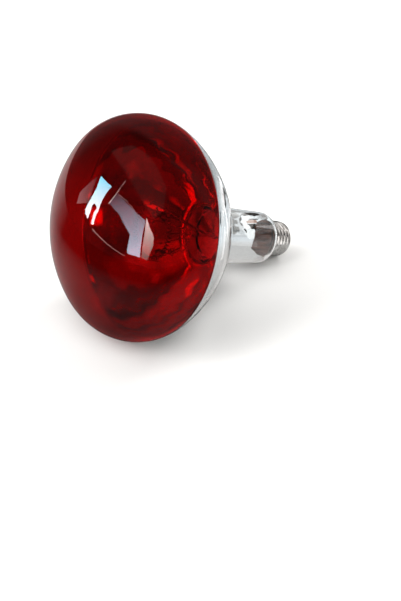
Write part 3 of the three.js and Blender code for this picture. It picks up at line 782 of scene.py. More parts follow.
@dataclass
class GlassEnvelope:
    """The bulb: ruby front glass, clear bowl and neck, and the mirror inside them. The smooth surface
    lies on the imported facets' flats, so every radius is the true one times round_share."""

    head_radius: float = 62.5 * MM
    dome_height: float = 38.8 * MM
    dome_rounding: float = 26.6 * MM
    wall: float = 1.3 * MM
    seam_place: float = 5 * MM
    seam_gap: float = 0.02 * MM
    bowl_depth: float = 55.7 * MM
    bowl_end_angle: float = math.radians(58.8)
    bowl_rim_pull: float = 0.238
    bowl_neck_pull: float = 0.344
    neck_front_radius: float = 18.8 * MM
    neck_rear_radius: float = 18.15 * MM
    neck_end: float = 108.3 * MM
    neck_fillet: float = 2.4 * MM
    inner_fillet: float = 9.5 * MM
    shoulder_rounding: float = 5.6 * MM
    seal_radius: float = 10 * MM
    seal_length: float = 5 * MM
    coarse_end: float = 48 * MM
    coat_wall: float = 0.05 * MM
    coat_gap: float = 0.03 * MM
    coat_ragged: float = 0.45 * MM
    coat_bowl_end: float = 50 * MM
    coat_turn_end: float = 64 * MM
    coat_fine_start: float = 82 * MM
    coat_stop: float = 109.6 * MM
    # Where the sheet painted with the cap's shade stops along the axis
    film_end: float = 104.2 * MM
    coat_marks: tuple[tuple[float, float], ...] = (
        (-180, 108.5), (-158, 107.0), (-153, 101.5), (-149, 96.5), (-144, 92.0), (-138, 89.1),
        (-128, 86.7), (-114, 86.0), (-103, 85.1), (-93, 84.4), (-84, 85.1), (-76, 89.9), (-69, 94.4),
        (-65, 99.8), (-60, 104.0), (-54, 107.5), (-46, 108.6), (180, 108.5),
    )
    round_share: float = math.cos(math.pi / 36)
    columns: int = 256

    def dome_sphere(self) -> tuple[float, float]:
        """The dome's sphere, which the rounded edge's arc touches from inside.

        Returns:
            Its radius, and its middle's place along the axis.
        """
        edge = self.head_radius - self.dome_rounding
        reach = self.dome_height**2 + edge**2 - self.dome_rounding**2
        radius = reach / (2 * (self.dome_height - self.dome_rounding))
        return radius, radius - self.dome_height

    def off_dome(self, eye: np.ndarray, rays: np.ndarray) -> tuple[np.ndarray, np.ndarray]:
        """Where rays meet the dome, the nearer root of the sphere's quadratic, and where its gloss sends
        them.

        Args:
            eye: Where the rays start, in the row frame.
            rays: Unit directions, one a row.

        Returns:
            The points that they meet and their new directions.
        """
        radius, middle = self.dome_sphere()
        centre = AXIS.place(np.array([0.0, 0.0, middle]))
        start = eye - centre
        nearing = rays @ start
        far = -nearing - np.sqrt(nearing**2 - (start @ start - radius**2))
        points = eye + far[:, None] * rays
        return points, reflected(rays, (points - centre) / radius)

    def off_neck(self, eye: np.ndarray, rays: np.ndarray) -> tuple[np.ndarray, np.ndarray]:
        """Where rays meet the coat in the neck, the nearer root of the cone's quadratic, and where it
        sends them. The glass before it is taken as too thin to bend them.

        Args:
            eye: Where the rays start, in the row frame.
            rays: Unit directions, one a row.

        Returns:
            The points that they meet and their new directions.
        """
        origin, _, _, axis = AXIS.directions()
        taper = (self.neck_rear_radius - self.neck_front_radius) / (self.neck_end - self.bowl_depth)
        taper *= self.round_share
        radius = (self.neck_front_radius - self.wall - self.coat_gap) * self.round_share
        radius -= taper * self.bowl_depth
        start = eye - origin
        ray_along, start_along = rays @ axis, start @ axis
        ray_out, start_out = rays - ray_along[:, None] * axis, start - start_along * axis
        radius_there = radius + taper * start_along
        square = (ray_out**2).sum(axis=1) - (taper * ray_along) ** 2
        half = ray_out @ start_out - taper * ray_along * radius_there
        rest = start_out @ start_out - radius_there**2
        far = (-half - np.sqrt(half**2 - square * rest)) / square
        points = eye + far[:, None] * rays
        out = points - origin
        out -= (out @ axis)[:, None] * axis
        normals = out / np.linalg.norm(out, axis=1, keepdims=True) - taper * axis
        return points, reflected(rays, normals / np.linalg.norm(normals, axis=1, keepdims=True))

    def front_line(self) -> np.ndarray:
        """The dome, a shallow sphere, and its rounded edge, a tangent arc up to the widest circle.

        Returns:
            Points from the apex to the widest circle.
        """
        edge = self.head_radius - self.dome_rounding
        radius, middle = self.dome_sphere()
        tangent = math.atan2(edge, middle)
        dome = arc_line((0, middle), radius, 0, tangent, 44)
        dome[0, 0] = 0
        rim = arc_line((edge, 0), self.dome_rounding, tangent, math.pi / 2, 30)
        return np.vstack([dome, rim[1:]])

    def bowl_line(self) -> np.ndarray:
        """The bowl, one cubic Bezier curve from the widest circle to the neck.

        Returns:
            Points from the widest circle to the neck's front.
        """
        chord = math.hypot(self.bowl_depth, self.head_radius - self.neck_front_radius)
        pull = self.bowl_neck_pull * chord
        return bezier_line(
            np.array(
                [
                    (self.head_radius, 0),
                    (self.head_radius, self.bowl_rim_pull * chord),
                    (
                        self.neck_front_radius + math.sin(self.bowl_end_angle) * pull,
                        self.bowl_depth - math.cos(self.bowl_end_angle) * pull,
                    ),
                    (self.neck_front_radius, self.bowl_depth),
                ]
            ),
            160,
        )

    def rear_line(self, fillet: float) -> np.ndarray:
        """The bowl behind the seam, the neck with its front rounding, the round shoulder and the drawn-in
        seal.

        Args:
            fillet: Radius of the rounding between bowl and neck.

        Returns:
            Points from the widest circle to the seal's end.
        """
        bowl = self.bowl_line()
        neck_start, neck_end = bowl[-1], np.array([self.neck_rear_radius, self.neck_end])
        turn = rounded_corner(bowl[-12], neck_start, neck_end, fillet, 12)
        bowl = bowl[bowl[:, 1] < turn[0, 1] - 0.05 * MM]
        share = np.linspace(0, 1, 41)[1:-1, None]
        neck = turn[-1] * (1 - share) + neck_end * share
        shoulder = arc_line(
            (self.neck_rear_radius - self.shoulder_rounding, self.neck_end),
            self.shoulder_rounding,
            math.pi / 2,
            math.pi,
            16,
        )
        seal_start = self.neck_end + self.shoulder_rounding
        seal_end = seal_start + self.seal_length
        seal = np.array([(self.seal_radius, seal_start), (self.seal_radius, seal_end)])
        corner = rounded_corner(shoulder[-2], seal[0], seal[1], self.wall, 6)
        return np.vstack([bowl, turn, neck, shoulder[:-1], corner, seal[1:]])

    def stretch(self, line: np.ndarray, start: float, end: float, count: int) -> np.ndarray:
        """The part of a line between two places along the axis, sampled anew at even steps of its length.

        Args:
            line: The line.
            start: Where it starts.
            end: Where it ends.
            count: Number of points.

        Returns:
            The new points.
        """
        length = np.concatenate([[0], np.cumsum(np.linalg.norm(np.diff(line, axis=0), axis=1))])
        ends = np.interp([start, end], line[:, 1], length)
        even = np.linspace(ends[0], ends[1], count)
        return np.stack([np.interp(even, length, line[:, 0]), np.interp(even, length, line[:, 1])], axis=-1)

    def rounded(self, line: np.ndarray) -> np.ndarray:
        """Brings a line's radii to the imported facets' flats."""
        return line * np.array([self.round_share, 1.0])

    def inner_line(self, start: float) -> np.ndarray:
        """The wall's inner side behind the seam. The blown wall thins where it turns into the neck, so
        its inner rounding is wider than the outer one.

        Args:
            start: Place where it starts.

        Returns:
            Points from there to the seal's end.
        """
        line = inset_line(self.rear_line(self.inner_fillet - self.wall), self.wall)
        first = [(np.interp(start, line[:, 1], line[:, 0]), start)]
        return np.vstack([first, line[line[:, 1] > start + 0.2 * MM]])

    def build_lens(self) -> bpy.types.Object:
        """The ruby front glass: dome, rounded edge and a short skirt to the seam, turned round the axis.

        Returns:
            The piece.
        """
        rear = self.rear_line(self.neck_fillet)
        end = self.seam_place - self.seam_gap
        skirt = rear[(rear[:, 1] > 0) & (rear[:, 1] < end)]
        last = [(np.interp(end, rear[:, 1], rear[:, 0]), end)]
        line = np.vstack([self.front_line(), skirt[::3], last])
        wall = np.vstack([line, inset_line(line, self.wall)[::-1]])
        return surface("front_glass", revolve_points(self.rounded(wall), self.columns))

    def build_bowl(self) -> bpy.types.Object:
        """The clear glass of bowl, neck and shoulder down to the seal, turned round the axis.

        Returns:
            The piece.
        """
        start = self.seam_place + self.seam_gap
        rear = self.rear_line(self.neck_fillet)
        first = [(np.interp(start, rear[:, 1], rear[:, 0]), start)]
        outer = np.vstack([first, rear[rear[:, 1] > start + 0.2 * MM]])
        both = [
            np.vstack([line[line[:, 1] < self.coarse_end][::3], line[line[:, 1] >= self.coarse_end]])
            for line in (outer, self.inner_line(start))
        ]
        wall = self.rounded(np.vstack([both[0], both[1][::-1]]))
        return surface("bowl_glass", revolve_points(wall, self.columns), Round.BOTH)

    def coat_edge(self, angle: np.ndarray) -> np.ndarray:
        """Where the mirror coat runs out, by the angle round the axis: straight runs between marks, from
        the shoulder to a bare patch on one side of the neck, with a ragged edge made of sines of many
        turns.

        Args:
            angle: Angles round the axis, from 0 to a full turn.

        Returns:
            Places along the axis.
        """
        marks = np.array(self.coat_marks)
        turned = (np.degrees(angle) + 180) % 360 - 180
        place = np.interp(turned, marks[:, 0], marks[:, 1]) * MM
        ragged = 0.5 * np.sin(23 * angle + 1.0) + 0.3 * np.sin(57 * angle + 2.2)
        ragged += 0.2 * np.sin(101 * angle + 0.4)
        return place + ragged * self.coat_ragged

    def build_mirror(self) -> tuple[bpy.types.Object, np.ndarray]:
        """The mirror coat: the wall's inner surface moved inwards by a hair, from the seam to the shoulder,
        given its thickness by Solidify. Past the ragged edge its faces are a dark brown sheet painted with
        shade, standing in for the shaded inside of the cap and its brown cement seen through the bare glass.

        Returns:
            The piece, and its faces' material numbers: 0 for the mirror and 2 for the film.
        """
        inner = self.inner_line(self.seam_place + self.seam_gap)
        bowl = self.stretch(inner, inner[0, 1], self.coat_bowl_end, 66)
        turn = self.stretch(inner, self.coat_bowl_end, self.coat_turn_end, 26)[1:]
        neck = self.stretch(inner, self.coat_turn_end, self.coat_fine_start, 12)[1:]
        fine = self.stretch(inner, self.coat_fine_start, self.coat_stop, 68)[1:]
        line = self.rounded(inset_line(np.vstack([bowl, turn, neck, fine]), self.coat_gap))
        columns = 320
        points = revolve_points(line, columns)
        along = (line[:-1, 1] + line[1:, 1]) / 2
        angle = (np.arange(columns) + 0.5) * 2 * math.pi / columns
        silvered = along[:, None] < self.coat_edge(angle)[None]
        kept = silvered | (along[:, None] < self.film_end)
        index = np.arange(len(line) * columns).reshape(len(line), columns)
        index = np.hstack([index, index[:, :1]])
        quads = np.stack([index[:-1, :-1], index[:-1, 1:], index[1:, 1:], index[1:, :-1]], axis=-1)[kept]
        used, faces = np.unique(quads, return_inverse=True)
        mesh = bpy.data.meshes.new("mirror_coat")
        mesh.from_pydata(points.reshape(-1, 3)[used].tolist(), [], faces.reshape(-1, 4).tolist())
        mesh.shade_smooth()
        piece = bpy.data.objects.new("mirror_coat", mesh)
        bpy.context.scene.collection.objects.link(piece)
        coat = piece.modifiers.new("coat", "SOLIDIFY")
        coat.thickness = self.coat_wall
        coat.offset = -1.0
        coat.material_offset = 1
        return piece, np.where(silvered, 0, 2)[kept]

    def make(self, workshop: Workshop) -> None:
        """Builds and dresses the envelope's pieces."""
        workshop.dress(self.build_lens(), Slot.RUBY, ("front_lens",))
        workshop.dress(self.build_bowl(), Slot.SILVERED, ("reflector_bowl",))
        coat, numbers = self.build_mirror()
        workshop.dress(coat, Slot.SILVERED, finish="mirror")
        coat.data.materials.append(workshop.materials["mirror_inside"])
        # The faces past the ragged edge get the sheet painted with the cap's shade
        coat.data.materials.append(workshop.materials["film"])
        coat.data.polygons.foreach_set("material_index", numbers)


@dataclass
class ScrewCap:
    """The screw shell with its rolled thread, the cement in its rim, the black glass ring and the
    contacts."""

    start: float = 114.2 * MM
    thread_radius: float = 13.05 * MM
    root_radius: float = 12.15 * MM
    pitch: float = 3.629 * MM
    thread_start: float = 115.7 * MM
    thread_end: float = 133.5 * MM
    end: float = 134.8 * MM
    fade: float = 0.42 * pitch
    wall: float = 0.4 * MM
    rim_radius: float = 13.4 * MM
    mouth_radius: float = 9.3 * MM
    notch_width: float = 1.8 * MM
    notch_depth: float = 1.5 * MM
    remap_end: float = 118.4 * MM
    flange_radius: float = 10.7 * MM
    flange_thickness: float = 1.2 * MM
    nose_radius: float = 6.2 * MM
    nose_end: float = 137.1 * MM
    bore_radius: float = 1.1 * MM
    contact_radius: float = 5.2 * MM
    contact_thickness: float = 0.7 * MM
    solder_radius: float = 2.6 * MM
    solder_flat_radius: float = 1.5 * MM
    solder_base: float = 0.25 * MM
    solder_dome: float = 0.55 * MM
    bead_half_width: float = 1.7 * MM
    bead_half_length: float = 1.1 * MM
    bead_height: float = 0.8 * MM
    lamp_end: float = 139.2 * MM
    cement_rim_radius: float = 12.66 * MM
    cement_lip_radius: float = 10.95 * MM
    cement_radius: float = 11.4 * MM
    cement_seal_radius: float = 10.32 * MM
    cement_hole_radius: float = 3.4 * MM
    cement_start: float = 114.52 * MM
    cement_rim_end: float = 114.95 * MM
    cement_step: float = 115.85 * MM
    cement_seal_end: float = 119.2 * MM
    cement_end: float = 120.1 * MM
    round_share: float = math.cos(math.pi / 32)
    columns: int = 224

    def wall_radius(self, along: np.ndarray, turn: np.ndarray) -> np.ndarray:
        """The shell's outer radius: a flared rim, then the mean radius plus half the thread's depth times
        a cosine that repeats each pitch and moves on by one pitch each turn, faded in and out, then a
        cone to the mouth.

        Args:
            along: Places along the axis.
            turn: Angle round the axis as a share of a turn.

        Returns:
            Radii.
        """
        mean, swing = (self.thread_radius + self.root_radius) / 2, (self.thread_radius - self.root_radius) / 2
        rise = np.clip((along - self.thread_start) / self.fade, 0, 1)
        fall = np.clip((self.thread_end - along) / self.fade, 0, 1)
        rise, fall = rise * rise * (3 - 2 * rise), fall * fall * (3 - 2 * fall)
        wave = np.cos(2 * math.pi * ((along - (self.thread_end - self.fade)) / self.pitch - turn))
        radius = mean + swing * wave * rise * fall
        flare = np.clip((self.thread_start - along) / (0.75 * MM), 0, 1)
        radius = radius + (self.rim_radius - mean) * flare * flare * (3 - 2 * flare)
        cone = np.clip((along - self.thread_end) / (self.end - self.thread_end), 0, 1)
        return radius + (self.mouth_radius - mean) * (1 - np.sqrt(1 - 0.98 * cone**2)) / (1 - math.sqrt(0.02))

    def build_shell(self) -> bpy.types.Object:
        """The shell: outer and inner wall on one grid of places along the axis and angles, where the
        rim's first rows are pressed back at the solder notch.

        Returns:
            The piece.
        """
        turn = (np.arange(self.columns) / self.columns)[None]
        sideways = np.abs(((turn - 0.25 + 0.5) % 1.0 - 0.5) * 2 * math.pi * self.rim_radius)
        notch = self.notch_depth * (1 - np.clip((sideways - self.notch_width / 2) / (0.2 * MM) + 0.5, 0, 1))
        rows = np.linspace(self.start, self.end, 190)[:, None]
        pressed = np.clip((self.remap_end - rows) / (self.remap_end - self.start), 0, 1)
        along = rows + notch * pressed
        outer = self.wall_radius(along, turn)
        inner = outer - self.wall
        back = along - np.clip((rows - self.thread_end) / (self.end - self.thread_end), 0, 1) * self.wall
        radius = np.vstack([outer, inner[::-1]]) * self.round_share
        place = np.vstack([along, back[::-1]])
        angle = turn * 2 * math.pi
        points = np.stack([radius * np.cos(angle), radius * np.sin(angle), place], axis=-1)
        return surface("screw_shell", AXIS.place(points), Round.BOTH)

    def build_cement(self) -> bpy.types.Object:
        """The cement: a rounded outline between the seal and the shell, run over behind the seal, turned
        round the axis.

        Returns:
            The piece.
        """
        corners = [
            (self.cement_rim_radius, self.cement_start),
            (self.cement_rim_radius, self.cement_rim_end),
            (self.cement_radius, self.cement_step),
            (self.cement_radius, self.cement_end),
            (self.cement_hole_radius, self.cement_end + 0.3 * MM),
            (self.cement_hole_radius, self.cement_seal_end + 0.1 * MM),
            (self.cement_seal_radius, self.cement_seal_end),
            (self.cement_seal_radius, self.cement_step),
            (self.cement_lip_radius, self.cement_start),
        ]
        return surface("basing_cement", revolve_points(soft_loop(corners, 0.25 * MM), 96), Round.BOTH)

    def build_insulator(self) -> bpy.types.Object:
        """The black glass ring: flange, waist and cone to the nose, round a small bore.

        Returns:
            The piece.
        """
        flange = self.thread_end - GAP
        waist = self.mouth_radius - GAP
        corners = [
            (self.bore_radius, flange - self.flange_thickness),
            (self.flange_radius, flange - self.flange_thickness),
            (self.flange_radius, flange),
            (waist, flange),
            (waist, self.end),
            (self.nose_radius, self.nose_end),
            (self.bore_radius, self.nose_end),
        ]
        line = soft_loop(corners, 0.5 * MM, 5) * TO_FLATS
        return surface("contact_insulator", revolve_points(line, 120), Round.BOTH)

    def build_contact(self) -> bpy.types.Object:
        """The brass eyelet: a washer with a turned edge.

        Returns:
            The piece.
        """
        start = self.nose_end + GAP
        corners = [
            (self.bore_radius, start),
            (self.contact_radius, start),
            (self.contact_radius, start + 0.55 * self.contact_thickness),
            (self.contact_radius - 0.5 * self.contact_thickness, start + self.contact_thickness),
            (self.bore_radius, start + self.contact_thickness),
        ]
        line = soft_loop(corners, 0.18 * MM) * TO_FLATS
        return surface("contact_eyelet", revolve_points(line, 120), Round.BOTH)

    def build_contact_solder(self) -> bpy.types.Object:
        """The solder button: a low dome, a quarter ellipse from the eyelet to a flat top.

        Returns:
            The piece.
        """
        start = self.lamp_end - self.solder_base - self.solder_dome
        bulge = np.linspace(0, math.pi / 2, 12)
        radius = self.solder_flat_radius + (self.solder_radius - self.solder_flat_radius) * np.cos(bulge)
        dome = np.stack([radius, start + self.solder_base + self.solder_dome * np.sin(bulge)], axis=-1)
        line = np.vstack([[(0, start), (self.solder_radius, start)], dome, [(0, self.lamp_end)]])
        line *= TO_FLATS
        return surface("contact_button", revolve_points(line, 72), sharp=50)

    def build_side_solder(self) -> bpy.types.Object:
        """The solder bead on the rim: half an ellipsoid over its flat base, its height swollen by slow
        sines.

        Returns:
            The piece.
        """
        tilt = np.linspace(0, math.pi / 2, 18)[:, None]
        angle = np.linspace(0, 2 * math.pi, 48, endpoint=False)[None]
        swell = 1 - 0.06 * (1 + np.sin(3 * angle + 0.7)) * np.sin(tilt) ** 2
        foot, middle = self.rim_radius + GAP, self.start + self.bead_half_length
        dome = np.stack(
            [
                self.bead_half_width * np.sin(tilt) * np.cos(angle) * swell,
                foot + self.bead_height * np.cos(tilt) + 0 * angle,
                middle + self.bead_half_length * np.sin(tilt) * np.sin(angle) * swell,
            ],
            axis=-1,
        )
        base = np.broadcast_to([0, foot, middle], dome[:1].shape)
        return surface("rim_solder", AXIS.place(np.vstack([dome, base])))

    def make(self, workshop: Workshop) -> None:
        """Builds and dresses the cap's pieces."""
        workshop.dress(self.build_shell(), Slot.CAP, ("cap_shell",))
        workshop.dress(self.build_cement(), Slot.CEMENT, ("cap_cement",))
        workshop.dress(self.build_insulator(), Slot.BLACK, ("cap_insulator",))
        workshop.dress(self.build_contact(), Slot.BRASS, ("contact_plate",))
        workshop.dress(self.build_contact_solder(), Slot.SOLDER, ("contact_solder",))
        workshop.dress(self.build_side_solder(), Slot.SOLDER, ("side_solder",))


@dataclass
class GlassStem:
    """The stem: flare sealed into the neck, press, exhaust tube, rod and bead."""

    flare_end: float = 118.9 * MM
    flare_radius: float = 8.4 * MM
    throat: float = 104.4 * MM
    bell_length: float = 4.83 * MM
    tube_start: float = 88.4 * MM
    tube_radius: float = 6.5 * MM
    wall: float = 1 * MM
    press_start: float = 76.1 * MM
    press_end: float = 88.1 * MM
    press_width: float = 17 * MM
    press_thickness: float = 5 * MM
    exhaust_radius: float = 2.5 * MM
    exhaust_end: float = 126.9 * MM
    exhaust_wall: float = 0.8 * MM
    exhaust_taper: float = 3.5 * MM
    rod_radius: float = 1.6 * MM
    rod_start: float = 45.1 * MM
    rod_end: float = 78.8 * MM
    bead_radius: float = 3.2 * MM
    bead_length: float = 4.4 * MM

    def build_flare(self) -> bpy.types.Object:
        """The flared tube: a straight tube and a quadratic Bezier bell, as a wall of even thickness.

        Returns:
            The piece.
        """
        bell_start = (self.tube_radius, self.flare_end - self.bell_length)
        controls = [(self.tube_radius, self.throat), bell_start, (self.flare_radius, self.flare_end)]
        bell = bezier_line(np.array(controls), 24)
        line = np.vstack([np.linspace((self.tube_radius, self.tube_start), bell[0], 8)[:-1], bell])
        wall = np.vstack([line, inset_line(line, self.wall)[::-1]]) * TO_FLATS
        return surface("flare_tube", revolve_points(wall, 96), Round.BOTH)

    def build_press(self) -> bpy.types.Object:
        """The press: superellipses from flat and wide in front to round at the tube, along a smooth step.

        Returns:
            The piece.
        """
        share = np.concatenate([[0.0, 0.0], np.linspace(0.0, 1.0, 36), [1.0]])[:, None]
        size = np.concatenate([[0.0, 0.8], np.full(36, 1.0), [0.0]])[:, None]
        size[2] = 0.93
        blend = np.clip((share - 0.45) / 0.55, 0, 1)
        blend = blend * blend * (3 - 2 * blend)
        thickness = (self.press_thickness / 2) * (1 - blend) + self.tube_radius * blend
        width = (self.press_width / 2) * (1 - blend) + self.tube_radius * blend
        power = 0.5 * (1 - blend) + blend
        angle = np.linspace(0, 2 * math.pi, 96, endpoint=False)[None]
        across = np.sign(np.cos(angle)) * np.abs(np.cos(angle)) ** power * thickness * size
        sideways = np.sign(np.sin(angle)) * np.abs(np.sin(angle)) ** power * width * size
        along = self.press_start + share * (self.press_end - self.press_start) + 0 * angle
        return surface("stem_press", AXIS.place(np.stack([across, sideways, along], axis=-1)))

    def build_exhaust(self) -> bpy.types.Object:
        """The exhaust tube: a wall of even thickness drawn to a closed tip.

        Returns:
            The piece.
        """
        wall, start = self.exhaust_wall, self.press_end + GAP
        neck = self.exhaust_end - self.exhaust_taper
        outer, inner, end = self.exhaust_radius, self.exhaust_radius - wall, self.exhaust_end
        tip = bezier_line(np.array([(outer, neck), (outer, end), (0, end)]), 12)
        hollow = bezier_line(np.array([(inner, neck), (inner, end - 2 * wall), (0, end - 2 * wall)]), 12)
        tip[-1, 0] = hollow[-1, 0] = 0
        line = np.vstack([hollow[::-1], [(inner, start), (outer, start)], tip])
        return surface("exhaust_tip", revolve_points(line, 48))

    def build_rod(self) -> bpy.types.Object:
        """The rod: a straight bar along the axis.

        Returns:
            The piece.
        """
        path = np.linspace((0, 0, self.rod_start), (0, 0, self.rod_end), 12)
        return surface("stem_rod", sweep_points(path, self.rod_radius, np.array([1.0, 0, 0]), 32))

    def build_bead(self) -> bpy.types.Object:
        """The bead: an ellipsoid of revolution in front of the rod.

        Returns:
            The piece.
        """
        angle = np.linspace(0, math.pi, 28)
        middle = self.rod_start - GAP - self.bead_length / 2
        along = middle - self.bead_length / 2 * np.cos(angle)
        line = np.stack([self.bead_radius * np.sin(angle), along], axis=-1)
        line[[0, -1], 0] = 0
        return surface("support_bead", revolve_points(line, 48))

    def make(self, workshop: Workshop) -> None:
        """Builds and dresses the stem's pieces."""
        workshop.dress(self.build_flare(), Slot.CLEAR, ("stem_flare",))
        workshop.dress(self.build_press(), Slot.CLEAR, ("stem_pinch",))
        workshop.dress(self.build_exhaust(), Slot.CLEAR, ("exhaust_tube",))
        workshop.dress(self.build_rod(), Slot.CLEAR, ("arbor_rod",))
        workshop.dress(self.build_bead(), Slot.CLEAR, ("arbor_button",))


@dataclass
class HeatDeflector:
    """The mica disc across the neck and the two eyelets that carry it on the leads."""

    eyelet_start: float = 68.4 * MM
    eyelet_length: float = 1.3 * MM
    eyelet_radius: float = 1.7 * MM
    bore_radius: float = 0.8 * MM
    spacing: float = 10 * MM

    def build_eyelet(self, name: str, side: int) -> bpy.types.Object:
        """An eyelet: a tapered washer turned round its own lead.

        Args:
            name: The piece's name.
            side: -1 or 1, the side of the axis.

        Returns:
            The piece.
        """
        end = self.eyelet_start + self.eyelet_length
        corners = [
            (self.bore_radius, self.eyelet_start),
            (self.eyelet_radius, self.eyelet_start),
            (self.eyelet_radius, self.eyelet_start + self.eyelet_length / 3),
            (self.bore_radius + GAP, end),
            (self.bore_radius, end),
        ]
        line = soft_loop(corners, 0.12 * MM, 3)
        return surface(name, revolve_points(line, 36, (0.0, side * self.spacing / 2)), Round.BOTH)

    def make(self, workshop: Workshop) -> None:
        """Builds and dresses the eyelets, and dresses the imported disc."""
        workshop.dress_solid("heat_deflector", Slot.MICA)
        workshop.dress(self.build_eyelet("disc_eyelet_left", -1), Slot.NICKEL, ("deflector_eyelet_a",))
        workshop.dress(self.build_eyelet("disc_eyelet_right", 1), Slot.NICKEL, ("deflector_eyelet_b",))


@dataclass
class CoiledFilament:
    """The filament: a coil carried round an open circle, with its four hooked supports and its two leads.
    """

    place: float = 14 * MM
    ring_radius: float = 15.5 * MM
    gap: float = 19 * MM
    coil_radius: float = 1.2 * MM
    turns: float = 35.5
    wire_radius: float = 0.25 * MM
    support_radius: float = 0.25 * MM
    supports: int = 4
    root_radius: float = 3.5 * MM
    root_place: float = 42.6 * MM
    lead_radius: float = 0.5 * MM
    lead_spacing: float = 10 * MM
    lead_places: tuple[float, ...] = (78.8 * MM, 76.1 * MM, 69.1 * MM, 62.1 * MM)
    lead_rise: float = 5.1 * MM
    steps_per_turn: int = 28

    def start_angle(self) -> float:
        """Angle at which the coil starts, half the gap past the far side."""
        return math.pi + math.asin(self.gap / (2 * self.ring_radius))

    def sweep_angle(self) -> float:
        """Angle that the coil covers."""
        return 2 * (math.pi - math.asin(self.gap / (2 * self.ring_radius)))

    def coil_line(self) -> tuple[np.ndarray, np.ndarray]:
        """The wire's centre line: round the ring at (R + c cos u, c sin u), where u makes all the turns
        as the angle round the ring makes its sweep, and a short leg at each end.

        Returns:
            The points and the direction of each from the ring's own line.
        """
        share = np.linspace(0, 1, int(self.turns * self.steps_per_turn) + 1)
        around = self.start_angle() + self.sweep_angle() * share
        turn = math.pi + 2 * math.pi * self.turns * share
        out = np.stack([np.cos(around), np.sin(around), 0 * around], axis=-1)
        side = np.cos(turn)[:, None] * out + np.sin(turn)[:, None] * np.array([0, 0, 1.0])
        path = self.ring_radius * out + self.coil_radius * side + np.array([0, 0, self.place])
        leg = np.linspace(2 * self.coil_radius, 0.4 * self.coil_radius, 6)[:, None] * np.array([0, 0, 1.0])
        path = np.vstack([path[0] + leg, path, path[-1] + leg[::-1]])
        side = np.vstack([np.repeat(side[:1], 6, axis=0), side, np.repeat(side[-1:], 6, axis=0)])
        return path, side

    def build_coil(self) -> bpy.types.Object:
        """The coil: a circle carried along the coil's line.

        Returns:
            The piece.
        """
        path, side = self.coil_line()
        return surface("filament_coil", sweep_points(path, self.wire_radius, side, 10))

    def build_support(self, number: int) -> bpy.types.Object:
        """A support: from the bead out to the coil, then half a circle round the coil's front.

        Args:
            number: Which of the supports, from 0.

        Returns:
            The piece.
        """
        around = self.start_angle() + self.sweep_angle() * (number + 0.5) / self.supports
        out = np.array([math.cos(around), math.sin(around), 0.0])
        hook = self.coil_radius + self.wire_radius + self.support_radius + GAP
        line = [
            (self.root_radius, self.root_place),
            (self.root_radius + hook, self.root_place - hook / 2),
            (self.ring_radius - hook, self.place + 4 * hook),
            (self.ring_radius - hook, self.place + hook),
            *[
                (self.ring_radius + hook * math.cos(a), self.place + hook * math.sin(a))
                for a in np.linspace(math.pi, 2 * math.pi, 7)
            ],
            (self.ring_radius + hook, self.place + hook),
        ]
        path = smooth_line([tuple(out * radius + np.array([0, 0, along])) for radius, along in line], 6)
        side = np.array([-math.sin(around), math.cos(around), 0.0])
        return surface(f"support_hook_{number + 1}", sweep_points(path, self.support_radius, side, 12))

    def build_inner_lead(self, name: str, side: int) -> bpy.types.Object:
        """An inner lead: straight out of the press, then leaning to its end of the filament.

        Args:
            name: The piece's name.
            side: -1 or 1, the side of the axis.

        Returns:
            The piece.
        """
        path, _ = self.coil_line()
        end = path[0] if side < 0 else path[-1]
        y = side * self.lead_spacing / 2
        points = [
            *[(0, y, place) for place in self.lead_places],
            (end[0], end[1], end[2] + self.lead_rise),
            (end[0], end[1], end[2] + GAP),
        ]
        line = smooth_line(points, 12)
        return surface(name, sweep_points(line, self.lead_radius, np.array([1.0, 0.15, 0.0]), 16))

    def make(self, workshop: Workshop) -> None:
        """Builds and dresses the filament's pieces."""
        workshop.dress(self.build_coil(), Slot.TUNGSTEN, ("filament",))
        for number in range(self.supports):
            workshop.dress(self.build_support(number), Slot.MOLYBDENUM, (f"filament_support_{number + 1}",))
        workshop.dress(self.build_inner_lead("inner_lead_left", -1), Slot.NICKEL, ("lead_wire_inner_a",))
        workshop.dress(self.build_inner_lead("inner_lead_right", 1), Slot.NICKEL, ("lead_wire_inner_b",))


